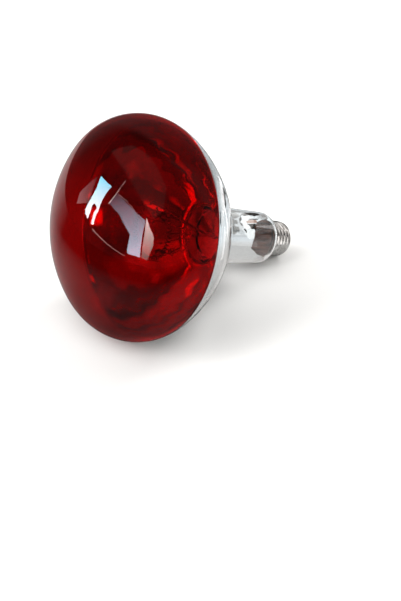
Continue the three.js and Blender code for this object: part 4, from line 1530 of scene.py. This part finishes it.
@dataclass
class OuterLeads:
    """The two copper wires from the press to the rim of the shell and to the centre contact."""

    radius: float = 0.35 * MM
    spacing: float = 8 * MM
    press_end: float = 85.4 * MM
    seal_end: float = 118.9 * MM
    side_radius: float = 11.1 * MM
    turn: float = 1.4 * MM
    back: float = 120.5 * MM
    behind_cement: float = 119.1 * MM
    exit_place: float = 114.95 * MM
    exit_radius: float = 13.35 * MM
    exhaust_tip: float = 126.9 * MM
    tip_room: float = 3.5 * MM
    bore_places: tuple[float, ...] = (130.9 * MM, 137.1 * MM, 138.1 * MM)

    def build_side(self) -> bpy.types.Object:
        """The side lead: back over the seal, forwards through the cement and out at the rim.

        Returns:
            The piece.
        """
        y, back, exit_place = self.spacing / 2, self.back, self.exit_place
        points = [
            (0, y, self.press_end),
            (0, y, (self.press_end + self.seal_end) / 2),
            (0, y, self.seal_end),
            (0, y + self.turn, back),
            (0, (y + self.side_radius) / 2, back + self.turn / 2),
            (0, self.side_radius - self.turn, back),
            (0, self.side_radius, self.behind_cement),
            (0, self.side_radius, exit_place + self.turn),
            (0, self.side_radius + self.turn / 2, exit_place),
            (0, self.exit_radius, exit_place),
        ]
        line = smooth_line(points, 10)
        return surface("side_lead", sweep_points(line, self.radius, np.array([1.0, 0, 0]), 14))

    def build_centre(self) -> bpy.types.Object:
        """The centre lead: past the exhaust tip and into the bore of the contact.

        Returns:
            The piece.
        """
        y, tip = -self.spacing / 2, self.exhaust_tip
        points = [
            (0, y, self.press_end),
            (0, y, (self.press_end + tip) / 2),
            (0, y, tip - self.tip_room),
            (0, y / 2, tip + self.turn),
            *[(0, 0, place) for place in self.bore_places],
        ]
        line = smooth_line(points, 10)
        return surface("centre_lead", sweep_points(line, self.radius, np.array([1.0, 0, 0]), 14))

    def make(self, workshop: Workshop) -> None:
        """Builds and dresses the two leads."""
        workshop.dress(self.build_side(), Slot.COPPER, ("lead_wire_outer_a",))
        workshop.dress(self.build_centre(), Slot.COPPER, ("lead_wire_outer_b",))


# The studio


class SeenBy(Enum):
    """Which rays meet a light card."""

    ALL = "gloss and mirrors"
    GLOSS = "gloss alone"
    MIRRORS = "mirrors behind glass alone"


class MarkedOn(Enum):
    """What a card's outline is marked on."""

    DOME = "where the picture shows the card in the dome's gloss"
    NECK = "where the picture shows the card in the neck's coat"
    ROOM = "where the card stands in the room"


@dataclass(frozen=True)
class Viewpoint:
    """The photograph's camera: its place, its compass direction, how far it looks down, and its focal
    length."""

    place: tuple[float, float, float] = (-178.407 * MM, -215.017 * MM, 187.783 * MM)
    azimuth: float = math.radians(40.555)
    drop: float = math.radians(35.036)
    focal_pixels: float = 499.906

    def rays(self, marks: np.ndarray) -> np.ndarray:
        """The camera's rays through places in the picture: ahead, plus the place's offset from the
        picture's middle over the focal length.

        Args:
            marks: Places in the picture in pixels, one a row, from its upper left corner.

        Returns:
            Unit directions in the row frame.
        """
        right = np.array([math.cos(self.azimuth), -math.sin(self.azimuth), 0.0])
        ahead = np.array([math.sin(self.azimuth), math.cos(self.azimuth), 0.0])
        ahead = math.cos(self.drop) * ahead + np.array([0.0, 0.0, -math.sin(self.drop)])
        offset = (marks - np.array(IMAGE_SIZE) / 2) / self.focal_pixels
        rays = ahead + offset[:, :1] * right - offset[:, 1:] * np.cross(right, ahead)
        return rays / np.linalg.norm(rays, axis=1, keepdims=True)

    def build(self) -> None:
        """Builds the camera. The sensor's width spans the long side of the picture."""
        data = bpy.data.cameras.new("camera")
        data.sensor_width = 36.0
        data.lens = self.focal_pixels / max(IMAGE_SIZE) * data.sensor_width
        data.clip_start, data.clip_end = 0.01, 50.0
        camera = bpy.data.objects.new("camera", data)
        camera.location = self.place
        camera.rotation_euler = (math.pi / 2 - self.drop, 0.0, -self.azimuth)
        bpy.context.scene.collection.objects.link(camera)
        bpy.context.scene.camera = camera


@dataclass(frozen=True)
class LightCard:
    """A lit panel of any outline, whose light and colour run evenly from one corner to another. The
    outline is in pixels of the picture where the card is marked on the lamp, and in metres where it is
    marked in the room."""

    name: str
    marked_on: MarkedOn
    outline: tuple[tuple[float, ...], ...]
    colour: str
    end_colour: str
    start_strength: float
    end_strength: float
    ends: tuple[int, int] = (0, 1)
    seen_by: SeenBy = SeenBy.ALL
    reach: float = 1.2
    half_width: float = 0.0

    def corners(self, view: Viewpoint, envelope: GlassEnvelope) -> np.ndarray:
        """The card's corners in the room. The camera's rays through the marks turn back at the lamp. From
        the neck each goes on by the reach, and from the dome they go on to one plane, square to their
        mean, which lies the reach away from the lamp's widest circle.

        Args:
            view: The camera.
            envelope: The lamp's glass.

        Returns:
            The corners in the row frame, one a row.
        """
        marks = np.array(self.outline)
        if self.marked_on is MarkedOn.ROOM:
            return marks
        if self.half_width > 0:
            marks = band_round(marks, self.half_width)
        eye = np.array(view.place)
        if self.marked_on is MarkedOn.NECK:
            points, onward = envelope.off_neck(eye, view.rays(marks))
            return points + self.reach * onward
        points, onward = envelope.off_dome(eye, view.rays(marks))
        facing = onward.mean(axis=0)
        facing /= np.linalg.norm(facing)
        far = (self.reach - (points - AXIS.directions()[0]) @ facing) / (onward @ facing)
        return points + far[:, None] * onward

    def build(self, view: Viewpoint, envelope: GlassEnvelope) -> None:
        """Builds the card with its own lit material.

        Args:
            view: The camera.
            envelope: The lamp's glass.
        """
        corners = self.corners(view, envelope)
        mesh = bpy.data.meshes.new(self.name)
        mesh.from_pydata(corners.tolist(), [], [tuple(range(len(corners)))])
        card = bpy.data.objects.new(self.name, mesh)
        bpy.context.scene.collection.objects.link(card)
        material = bpy.data.materials.new(self.name)
        material.use_nodes = True
        tree = material.node_tree
        tree.nodes.clear()
        source = add_node(tree, "ShaderNodeTexCoord").outputs["Object"]
        start, end = corners[self.ends[0]], corners[self.ends[1]]
        run = end - start
        offset = {"operation": "SUBTRACT", 1: start.tolist()}
        shifted = add_node(tree, "ShaderNodeVectorMath", offset, {0: source})
        along = {"operation": "DOT_PRODUCT", 1: (run / (run @ run)).tolist()}
        share = add_node(tree, "ShaderNodeVectorMath", along, {0: shifted.outputs["Vector"]})
        strength = add_node(
            tree,
            "ShaderNodeMapRange",
            {"To Min": self.start_strength, "To Max": self.end_strength},
            {"Value": share.outputs["Value"]},
        )
        tint = add_node(
            tree,
            "ShaderNodeMix",
            {"data_type": "RGBA", 6: to_linear(self.colour), 7: to_linear(self.end_colour)},
            {"Factor": share.outputs["Value"]},
        )
        links = {"Color": tint.outputs[2], "Strength": strength.outputs["Result"]}
        glow = add_node(tree, "ShaderNodeEmission", links=links)
        add_node(tree, "ShaderNodeOutputMaterial", links={"Surface": glow.outputs["Emission"]})
        mesh.materials.append(material)
        card.visible_diffuse = False
        card.visible_shadow = False
        card.visible_camera = False
        card.visible_glossy = self.seen_by is not SeenBy.MIRRORS
        card.visible_transmission = self.seen_by is not SeenBy.GLOSS


# The window beside the camera with its cords, and a pale ceiling, as the dome's gloss shows them
DOME_CARDS = (
    LightCard(
        "window_upper", MarkedOn.DOME,
        (
            (101.2, 175.9), (112.0, 186.4), (106.1, 193.3), (100.9, 203.9), (98.1, 211.8), (96.0, 215.0),
            (93.5, 224.8), (91.3, 223.6), (94.3, 211.8), (96.8, 208.8), (96.0, 204.7), (94.3, 203.2),
            (92.0, 206.4), (90.3, 212.4), (87.9, 218.8), (85.8, 213.9), (85.3, 209.7), (91.2, 198.5),
            (97.0, 187.6),
        ),
        "#7ce4ff", "#fdfbff", 18.0, 22.0, (0, 14), SeenBy.GLOSS,
    ),
    LightCard(
        "window_cord_low", MarkedOn.DOME,
        ((92.4, 228.8), (97.6, 234.8), (104.2, 241.2), (112.1, 247.6), (124.8, 256.1)),
        "#fff2ee", "#ffe6e0", 6.0, 3.5, (0, 4), SeenBy.GLOSS, half_width=0.33,
    ),
    LightCard(
        "window_cord_upper", MarkedOn.DOME,
        ((126.4, 180.0), (122.4, 185.2), (117.9, 191.8), (113.0, 198.5), (109.1, 203.3)),
        "#ffe6e0", "#ffffff", 3.5, 10.0, (0, 4), SeenBy.GLOSS, half_width=0.33,
    ),
    LightCard(
        "window_cord_side", MarkedOn.DOME,
        ((118.5, 193.9), (126.7, 200.3), (133.9, 208.8), (139.7, 217.3), (144.8, 224.5)),
        "#ffeae4", "#ffeae4", 3.0, 3.0, (0, 4), SeenBy.GLOSS, half_width=0.3,
    ),
    LightCard(
        "window_side", MarkedOn.DOME,
        ((98.0, 176.3), (89.8, 202.8), (76.8, 203.6), (79.8, 192.8)),
        "#d8d4dc", "#efe2e2", 0.5, 1.9, (0, 2),
    ),
    LightCard(
        "window_slanted", MarkedOn.DOME,
        (
            (117.9, 192.8), (146.1, 221.0), (140.3, 257.5), (127.1, 253.4), (130.4, 234.3), (119.6, 214.4),
            (108.8, 202.0),
        ),
        "#a3c4da", "#c4e8ff", 1.0, 13.0, (0, 3),
    ),
    LightCard(
        "window_edge", MarkedOn.DOME,
        ((147.0, 217.7), (154.4, 237.6), (153.6, 245.9), (147.8, 260.8), (142.0, 258.3), (145.3, 232.6)),
        "#e6f4f2", "#dccfc4", 15.0, 2.6, (0, 3),
    ),
    LightCard(
        "ceiling_patch", MarkedOn.DOME,
        (
            (111.3, 150.6), (132.9, 144.8), (160.0, 163.0), (177.0, 185.4), (163.5, 211.1), (154.4, 218.5),
            (142.8, 201.1), (127.9, 174.6),
        ),
        "#e6d2c8", "#e6d2c8", 0.2, 0.2, (0, 4), SeenBy.GLOSS,
    ),
)
# Bright shapes and dark strips as the neck's coat shows them
NECK_CARDS = (
    LightCard(
        "neck_sky", MarkedOn.NECK,
        (
            (233.4, 213.5), (240.3, 213.5), (248.0, 214.1), (257.7, 215.4), (257.7, 219.5), (255.6, 225.6),
            (254.6, 230.7), (253.6, 235.3), (243.4, 235.3), (233.2, 234.8), (233.2, 225.6), (233.2, 219.5),
        ),
        "#fdfeff", "#fdfeff", 1.15, 1.15, (0, 6), SeenBy.MIRRORS, 110 * MM,
    ),
    LightCard(
        "neck_glow", MarkedOn.NECK,
        (
            (239.0, 217.4), (241.8, 215.2), (249.5, 215.0), (257.7, 216.7), (256.9, 219.5), (255.4, 223.6),
            (254.8, 227.7), (254.3, 230.7), (253.6, 234.3), (252.0, 238.9), (246.9, 238.4), (242.3, 234.3),
            (239.8, 229.7), (241.8, 227.7), (240.8, 225.6), (238.9, 222.0),
        ),
        "#fdfeff", "#fffdfb", 1.7, 1.7, (0, 9), SeenBy.MIRRORS, 85 * MM,
    ),
    LightCard(
        "neck_strip_upper", MarkedOn.NECK,
        (
            (240.3, 215.0), (242.3, 214.3), (249.0, 214.0), (253.6, 214.3), (257.7, 215.2), (258.2, 216.7),
            (255.6, 216.8), (252.6, 217.4), (250.5, 216.7), (247.4, 216.4), (241.8, 217.0),
        ),
        "#9a908a", "#55504e", 0.35, 0.35, (0, 5), SeenBy.MIRRORS, 60 * MM,
    ),
    LightCard(
        "neck_strip_curved", MarkedOn.NECK,
        (
            (240.3, 214.6), (238.4, 216.9), (237.7, 219.5), (238.2, 222.6), (239.8, 225.6), (240.9, 226.2),
            (239.4, 222.6), (238.8, 219.5), (239.4, 217.2), (241.1, 215.4),
        ),
        "#6a6560", "#6a6560", 0.4, 0.4, (0, 5), SeenBy.MIRRORS, 60 * MM,
    ),
    LightCard(
        "neck_strip_thin", MarkedOn.NECK,
        ((246.9, 219.6), (256.6, 219.6), (257.1, 220.5), (247.4, 220.6)),
        "#6a5a55", "#6a5a55", 0.35, 0.35, (0, 1), SeenBy.MIRRORS, 60 * MM,
    ),
    LightCard(
        "neck_strip_warm", MarkedOn.NECK,
        ((244.4, 222.0), (246.9, 220.8), (255.1, 220.8), (255.6, 223.6), (245.4, 223.7)),
        "#ffe0d2", "#e8b8a4", 1.0, 1.0, (0, 3), SeenBy.MIRRORS, 60 * MM,
    ),
    LightCard(
        "neck_strip_lower", MarkedOn.NECK,
        ((245.4, 224.3), (253.6, 224.2), (254.2, 229.7), (250.0, 229.2), (247.4, 225.6)),
        "#8a827c", "#5a5450", 0.35, 0.35, (0, 2), SeenBy.MIRRORS, 60 * MM,
    ),
    LightCard(
        "neck_dot", MarkedOn.NECK,
        ((241.6, 229.7), (242.6, 228.1), (245.2, 231.7), (244.1, 233.4)),
        "#4a4a50", "#4a4a50", 0.3, 0.3, (0, 2), SeenBy.MIRRORS, 60 * MM,
    ),
)
# White panels near the cap, which its ridges and the neck's gloss show, and dark marks a hair above the floor
ROOM_CARDS = (
    LightCard(
        "cap_panel", MarkedOn.ROOM,
        (
            (0.114, 0.038, 0.057), (0.101, 0.003, 0.061), (0.097, -0.022, 0.058), (0.098, -0.039, 0.053),
            (0.09, -0.053, 0.057), (0.081, -0.028, 0.07), (0.082, -0.001, 0.075), (0.094, 0.023, 0.071),
        ),
        "#ffffff", "#fff8f4", 1.8, 1.8, (0, 3), SeenBy.GLOSS,
    ),
    LightCard(
        "cap_panel_low", MarkedOn.ROOM,
        (
            (0.075, -0.048, 0.0), (0.063, -0.055, 0.004), (0.049, -0.062, 0.012), (0.054, -0.057, 0.048),
            (0.071, -0.048, 0.05),
        ),
        "#ffffff", "#fff8f4", 1.8, 1.8, (0, 3), SeenBy.GLOSS,
    ),
    LightCard(
        "cap_panel_side", MarkedOn.ROOM,
        (
            (0.138, -0.011, 0.048), (0.103, -0.029, 0.056), (0.107, -0.03, 0.004), (0.121, -0.023, 0.003),
            (0.14, -0.013, -0.009),
        ),
        "#ffffff", "#fff8f4", 2.2, 2.2, (0, 3), SeenBy.GLOSS,
    ),
    LightCard(
        "floor_mark_far", MarkedOn.ROOM,
        (
            (0.236, 0.05, 0.001), (0.256, 0.11, 0.001), (0.316, 0.14, 0.001), (0.386, 0.17, 0.001),
            (0.7, 0.16, 0.001), (0.836, 0.07, 0.001), (0.566, -0.01, 0.001), (0.296, 0.01, 0.001),
        ),
        "#b8bdb8", "#8f9a96", 0.07, 0.07, (0, 3), SeenBy.MIRRORS,
    ),
    LightCard(
        "floor_mark_near", MarkedOn.ROOM,
        (
            (0.256, -0.022, 0.001), (0.336, -0.012, 0.001), (0.586, -0.08, 0.001), (0.406, -0.13, 0.001),
            (0.252, -0.085, 0.001),
        ),
        "#b8bdb8", "#8f9a96", 0.08, 0.08, (0, 3), SeenBy.MIRRORS,
    ),
)


@dataclass(frozen=True)
class SoftSun:
    """A broad, even light from one side, which only matt things see."""

    name: str
    azimuth: float
    height: float
    spread: float
    energy: float

    def build(self) -> None:
        """Builds the light. It comes from the azimuth, measured from +Y towards +X, at the height, in
        degrees."""
        light = bpy.data.lights.new(self.name, "SUN")
        light.energy = self.energy
        light.angle = math.radians(self.spread)
        sun = bpy.data.objects.new(self.name, light)
        turn, rise = math.radians(self.azimuth), math.radians(self.height)
        away = Vector((-math.sin(turn) * math.cos(rise), -math.cos(turn) * math.cos(rise), -math.sin(rise)))
        sun.rotation_euler = away.to_track_quat("-Z", "Y").to_euler()
        sun.visible_glossy = False
        sun.visible_transmission = False
        bpy.context.scene.collection.objects.link(sun)


Stops = tuple[tuple[float, float], ...]


@dataclass(frozen=True)
class RoomPatch:
    """A lighter or darker place in the room as mirrors see it: a window, a dark corner or a pool on the
    floor. It spans some degrees of compass direction, and some degrees of height or metres of distance,
    with a soft edge."""

    name: str
    turn: float
    half_turn: float
    place: float
    half_place: float
    level: float
    softness: float = 0.35


@dataclass
class Studio:
    """A pale floor, a dim room, a tall window beside the camera and soft light from above and the left."""

    floor_colour: str = "#ecebe9"
    near_tint: str = "#fffaf7"
    far_tint: str = "#f8fcff"
    sky_colour: str = "#fffdfa"
    floor_reach: float = 6.0
    lamp_foot: tuple[float, float] = (-0.044, 0.0)
    ramp_top: float = 2.0
    front_share: Stops = ((-180, 0.8), (-150, 1.0), (-30, 1.0), (-10, 0.0), (140, 0.0), (180, 0.8))
    floor_through: Stops = (
        (-180, 0.8), (-150, 0.7), (-130, 0.35), (-105, 0.3), (-60, 0.45), (-30, 0.6), (15, 0.75), (60, 0.9),
        (120, 0.9), (180, 0.8),
    )
    floor_patches: tuple[RoomPatch, ...] = (
        RoomPatch("dim_left", -128, 14, 0.6, 0.4, 0.2),
        RoomPatch("dim_back", 28, 10, 0.6, 0.35, 0.25),
        RoomPatch("doorway_floor", -103, 7, 2.6, 1.9, 2.4, 0.05),
        RoomPatch("bright_strip", -120, 4, 0.6, 0.3, 3.5, 0.3),
        RoomPatch("shadow_by_head", -118, 26, 0.1, 0.05, 0.12),
        RoomPatch("sunny_left", -88, 9, 0.12, 0.045, 1.7),
        RoomPatch("lit_right", 86, 34, 0.28, 0.12, 1.5),
    # Painted light: a brighter pool on the floor beside the cap, as mirrors see it
    )
    room_through: Stops = (
        (-180, 0.4), (-150, 0.3), (-128, 0.4), (-112, 0.5), (-100, 0.8), (-60, 0.9), (-36, 0.8),
        (-20, 0.3), (25, 0.25), (48, 0.8), (64, 0.8), (78, 0.4), (135, 0.4), (180, 0.4),
    )
    room_patches: tuple[RoomPatch, ...] = (
        RoomPatch("dark_ceiling", 60, 90, 75, 24, 0.22),
        RoomPatch("dim_ceiling", -108, 70, 74, 16, 0.7),
        RoomPatch("high_window", -86, 44, 54, 14, 1.5),
        RoomPatch("dark_shelf", -147, 16, 42, 10, 0.15),
        RoomPatch("tall_window", -100, 7, 18, 22, 5.0),
        RoomPatch("low_window", -165, 7, 11, 8, 4.5),
        RoomPatch("ceiling_light", -53, 10, 51, 4, 4.0),
    )
    floor_glossed: Stops = (
        (-180, 0.12), (-110, 0.1), (-60, 0.15), (-15, 0.3), (0, 0.38), (30, 0.38), (50, 0.3),
        (62, 0.1), (125, 0.08), (150, 0.06), (180, 0.12),
    )
    gloss_patches: tuple[RoomPatch, ...] = (RoomPatch("floor_by_cap", 92, 32, 0.13, 0.09, 0.7),)
    room_glossed: Stops = (
        (-180, 0.03), (-60, 0.03), (-30, 0.015), (-5, 0.02), (12, 0.1), (45, 0.07), (100, 0.05), (128, 0.12),
        (145, 0.05), (180, 0.03),
    )
    sky_strength: float = 0.04
    inside_strength: float = 0.7
    front_strength: float = 1.0
    suns: tuple[SoftSun, ...] = (
        SoftSun("soft_front", -168, 50, 36, 1.12),
        SoftSun("soft_left", -61, 50, 40, 1.59),
        SoftSun("soft_right", 92, 50, 36, 1.69),
        SoftSun("soft_low_left", -72, 25, 36, 2.5),
        SoftSun("soft_top", 0, 75, 32, 0.64),
    )
    pool_place: tuple[float, float, float] = (0.034, -0.006, 0.02)
    pool_power: float = 0.008
    gathered_place: tuple[float, float, float] = (4 * MM, -14 * MM, 40 * MM)
    gathered_power: float = 0.035
    view: Viewpoint = Viewpoint()
    cards: tuple[LightCard, ...] = DOME_CARDS + NECK_CARDS + ROOM_CARDS

    def compass(self, tree: bpy.types.NodeTree, vector: bpy.types.NodeSocket) -> bpy.types.NodeSocket:
        """The compass direction of a vector, the angle from +Y towards +X, as a share of the turn from
        -180 to 180.

        Args:
            tree: The tree that the nodes go into.
            vector: The direction, or a place relative to the lamp.

        Returns:
            The socket that gives the share.
        """
        parts = add_node(tree, "ShaderNodeSeparateXYZ", links={"Vector": vector})
        turn = add_node(
            tree, "ShaderNodeMath", {"operation": "ARCTAN2"}, {0: parts.outputs["X"], 1: parts.outputs["Y"]}
        )
        share = add_node(
            tree,
            "ShaderNodeMapRange",
            {"From Min": -math.pi, "From Max": math.pi},
            {"Value": turn.outputs["Value"]},
        )
        return share.outputs["Result"]

    def tone_of(
        self, tree: bpy.types.NodeTree, share: bpy.types.NodeSocket, stops: Stops
    ) -> bpy.types.NodeSocket:
        """A light level looked up by compass direction between stops.

        Args:
            tree: The tree that the nodes go into.
            share: The compass direction as compass gives it.
            stops: Pairs of degrees from -180 to 180 and level, in order.

        Returns:
            The socket that gives the level.
        """
        ramp = add_node(tree, "ShaderNodeValToRGB", links={"Fac": share})
        marks = ramp.color_ramp.elements
        marks[0].position, marks[1].position = 0.0, 1.0
        for place, _ in stops[1:-1]:
            marks.new((place + 180) / 360)
        for mark, (_, level) in zip(marks, stops):
            mark.color = (level / self.ramp_top,) * 3 + (1.0,)
        settings = {"operation": "MULTIPLY", 1: self.ramp_top}
        return add_node(tree, "ShaderNodeMath", settings, {0: ramp.outputs["Color"]}).outputs["Value"]

    def with_patches(
        self,
        tree: bpy.types.NodeTree,
        share: bpy.types.NodeSocket,
        measure: bpy.types.NodeSocket,
        level: bpy.types.NodeSocket,
        patches: tuple[RoomPatch, ...],
    ) -> bpy.types.NodeSocket:
        """A light level with patches laid over it. A patch's share is the product of two soft steps, one
        down its span of compass direction and one down its span of height or distance.

        Args:
            tree: The tree that the nodes go into.
            share: The compass direction as compass gives it.
            measure: The height or the distance.
            level: The level without patches.
            patches: The patches, the later over the earlier.

        Returns:
            The socket that gives the level.
        """
        for patch in patches:
            spans = (
                (share, patch.turn / 360 + 0.5, patch.half_turn / 360),
                (measure, patch.place, patch.half_place),
            )
            steps = []
            for socket, middle, half in spans:
                off = add_node(tree, "ShaderNodeMath", {"operation": "SUBTRACT", 1: middle}, {0: socket})
                size = add_node(tree, "ShaderNodeMath", {"operation": "ABSOLUTE"}, {0: off.outputs["Value"]})
                step = add_node(
                    tree,
                    "ShaderNodeMapRange",
                    {
                        "From Min": half * (1 - patch.softness),
                        "From Max": half * (1 + patch.softness),
                        "To Min": 1.0,
                        "To Max": 0.0,
                    },
                    {"Value": size.outputs["Value"]},
                )
                steps.append(step.outputs["Result"])
            both = add_node(tree, "ShaderNodeMath", {"operation": "MULTIPLY"}, {0: steps[0], 1: steps[1]})
            links = {"Factor": both.outputs["Value"], 2: level}
            level = add_node(tree, "ShaderNodeMix", {3: patch.level}, links).outputs[0]
        return level

    def floor_material(self) -> bpy.types.Material:
        """Pale matt board. The eye and the light see it all alike. The lamp's outer gloss sees it dimmer,
        and mirrors behind glass see it as light as the room leaves it, by compass direction and distance
        from the lamp.

        Returns:
            The material.
        """
        material = bpy.data.materials.new("pale_board")
        material.use_nodes = True
        material.cycles.emission_sampling = "NONE"
        tree = material.node_tree
        tree.nodes.clear()
        source = add_node(tree, "ShaderNodeTexCoord").outputs["Object"]
        foot = {"operation": "SUBTRACT", 1: (*self.lamp_foot, 0.0)}
        around = add_node(tree, "ShaderNodeVectorMath", foot, {0: source}).outputs["Vector"]
        length = add_node(tree, "ShaderNodeVectorMath", {"operation": "LENGTH"}, {0: around})
        distance = length.outputs["Value"]
        share = self.compass(tree, around)
        away = add_node(
            tree,
            "ShaderNodeMapRange",
            {"From Min": 0.12, "From Max": 0.32, "To Min": 1.0, "To Max": 0.05},
            {"Value": distance},
        ).outputs["Result"]
        front = self.tone_of(tree, share, self.front_share)
        kept = add_node(tree, "ShaderNodeMix", {2: 1.0}, {"Factor": front, 3: away}).outputs[0]
        glossed = add_node(
            tree,
            "ShaderNodeMath",
            {"operation": "MULTIPLY"},
            {0: self.tone_of(tree, share, self.floor_glossed), 1: kept},
        ).outputs["Value"]
        glossed = self.with_patches(tree, share, distance, glossed, self.gloss_patches)
        through = self.with_patches(
            tree, share, distance, self.tone_of(tree, share, self.floor_through), self.floor_patches
        )
        path = add_node(tree, "ShaderNodeLightPath")
        strengths = {2: self.inside_strength, 3: self.front_strength}
        inside = add_node(tree, "ShaderNodeMix", strengths, {"Factor": front}).outputs[0]
        links = {"Factor": path.outputs["Diffuse Depth"], 2: through, 3: inside}
        through = add_node(tree, "ShaderNodeMix", links=links).outputs[0]
        links = {"Factor": path.outputs["Is Glossy Ray"], 3: glossed}
        level = add_node(tree, "ShaderNodeMix", {2: 1.0}, links).outputs[0]
        dimmed = {"operation": "SCALE", 0: to_linear(self.floor_colour)[:3]}
        colour = add_node(tree, "ShaderNodeVectorMath", dimmed, {"Scale": level})
        board = add_node(
            tree, "ShaderNodeBsdfDiffuse", {"Roughness": 0.0}, {"Color": colour.outputs["Vector"]}
        )
        cool = add_node(tree, "ShaderNodeMapRange", {"From Min": 0.12, "From Max": 0.22}, {"Value": distance})
        tints = {"data_type": "RGBA", 6: to_linear(self.near_tint), 7: to_linear(self.far_tint)}
        tint = add_node(tree, "ShaderNodeMix", tints, {"Factor": cool.outputs["Result"]})
        seen = add_node(tree, "ShaderNodeEmission", links={"Color": tint.outputs[2], "Strength": through})
        links = {
            "Fac": path.outputs["Is Transmission Ray"],
            1: board.outputs["BSDF"],
            2: seen.outputs["Emission"],
        }
        shader = add_node(tree, "ShaderNodeMixShader", links=links)
        add_node(tree, "ShaderNodeOutputMaterial", links={"Surface": shader.outputs["Shader"]})
        return material

    def build_floor(self) -> None:
        """Lays the floor, a round sheet on rings and spokes round the lamp."""
        radius = np.linspace(0, self.floor_reach, 5)[:, None]
        angle = np.linspace(0, 2 * math.pi, 96, endpoint=False)[None]
        points = np.stack([radius * np.cos(angle), radius * np.sin(angle), 0 * radius * angle], axis=-1)
        sheet = surface("floor", points[:, ::-1], Round.COLUMNS)
        sheet.data.materials.append(self.floor_material())

    def build_world(self) -> None:
        """The room: a faint even light for matt things. Glass sees one dim room by compass direction in
        its own gloss, and mirrors behind glass see another, with windows and dark walls by compass
        direction and height."""
        world = bpy.data.worlds.new("room")
        bpy.context.scene.world = world
        world.use_nodes = True
        world.cycles.sampling_method = "NONE"
        tree = world.node_tree
        tree.nodes.clear()
        source = add_node(tree, "ShaderNodeTexCoord").outputs["Generated"]
        share = self.compass(tree, source)
        parts = add_node(tree, "ShaderNodeSeparateXYZ", links={"Vector": source})
        rise = add_node(tree, "ShaderNodeMath", {"operation": "ARCSINE"}, {0: parts.outputs["Z"]})
        degrees = add_node(tree, "ShaderNodeMath", {"operation": "DEGREES"}, {0: rise.outputs["Value"]})
        height = degrees.outputs["Value"]
        through = self.with_patches(
            tree, share, height, self.tone_of(tree, share, self.room_through), self.room_patches
        )
        glossed = self.tone_of(tree, share, self.room_glossed)
        path = add_node(tree, "ShaderNodeLightPath")
        links = {"Factor": path.outputs["Diffuse Depth"], 2: through}
        through = add_node(tree, "ShaderNodeMix", {3: self.inside_strength}, links).outputs[0]
        links = {"Factor": path.outputs["Is Diffuse Ray"], 2: glossed}
        level = add_node(tree, "ShaderNodeMix", {3: self.sky_strength}, links).outputs[0]
        links = {"Factor": path.outputs["Is Transmission Ray"], 2: level, 3: through}
        level = add_node(tree, "ShaderNodeMix", links=links).outputs[0]
        sky = to_linear(self.sky_colour)
        back = add_node(tree, "ShaderNodeBackground", {"Color": sky}, {"Strength": level})
        add_node(tree, "ShaderNodeOutputWorld", links={"Surface": back.outputs["Background"]})

    def build_throw(self, name: str, place: tuple[float, float, float], power: float, shadow: bool) -> None:
        """A small lamp that only matt things see, for light that a mirror gathers.

        Args:
            name: The lamp's name.
            place: Where it stands.
            power: Its power in watts.
            shadow: Whether glass and solids stop it.
        """
        light = bpy.data.lights.new(name, "POINT")
        light.energy = power
        light.shadow_soft_size = 0.0
        light.use_shadow = shadow
        lamp = bpy.data.objects.new(name, light)
        lamp.location = place
        lamp.visible_glossy = False
        lamp.visible_transmission = False
        bpy.context.scene.collection.objects.link(lamp)

    def make(self, envelope: GlassEnvelope) -> None:
        """Builds the studio round the lamp and sets how colours are shown.

        Args:
            envelope: The lamp's glass, on which cards are marked.
        """
        self.build_floor()
        self.build_world()
        self.build_throw("bowl_throw", self.pool_place, self.pool_power, False)
        inside = AXIS.place(np.array(self.gathered_place))
        self.build_throw("gathered_by_bowl", tuple(inside.tolist()), self.gathered_power, True)
        self.view.build()
        for sun in self.suns:
            sun.build()
        for card in self.cards:
            card.build(self.view, envelope)
        shown = bpy.context.scene.view_settings
        shown.view_transform = "Standard"
        shown.look = "None"
        log.info("studio: %d cards", len(self.cards))


def main() -> None:
    """Builds the lamp's sub-assemblies in order, then the studio round them."""
    logging.basicConfig(level=logging.INFO, format="%(message)s")
    workshop = Workshop()
    envelope = GlassEnvelope()
    for part in (envelope, ScrewCap(), GlassStem(), HeatDeflector(), CoiledFilament(), OuterLeads()):
        part.make(workshop)
    Studio().make(envelope)


if __name__ == "__main__":
    main()
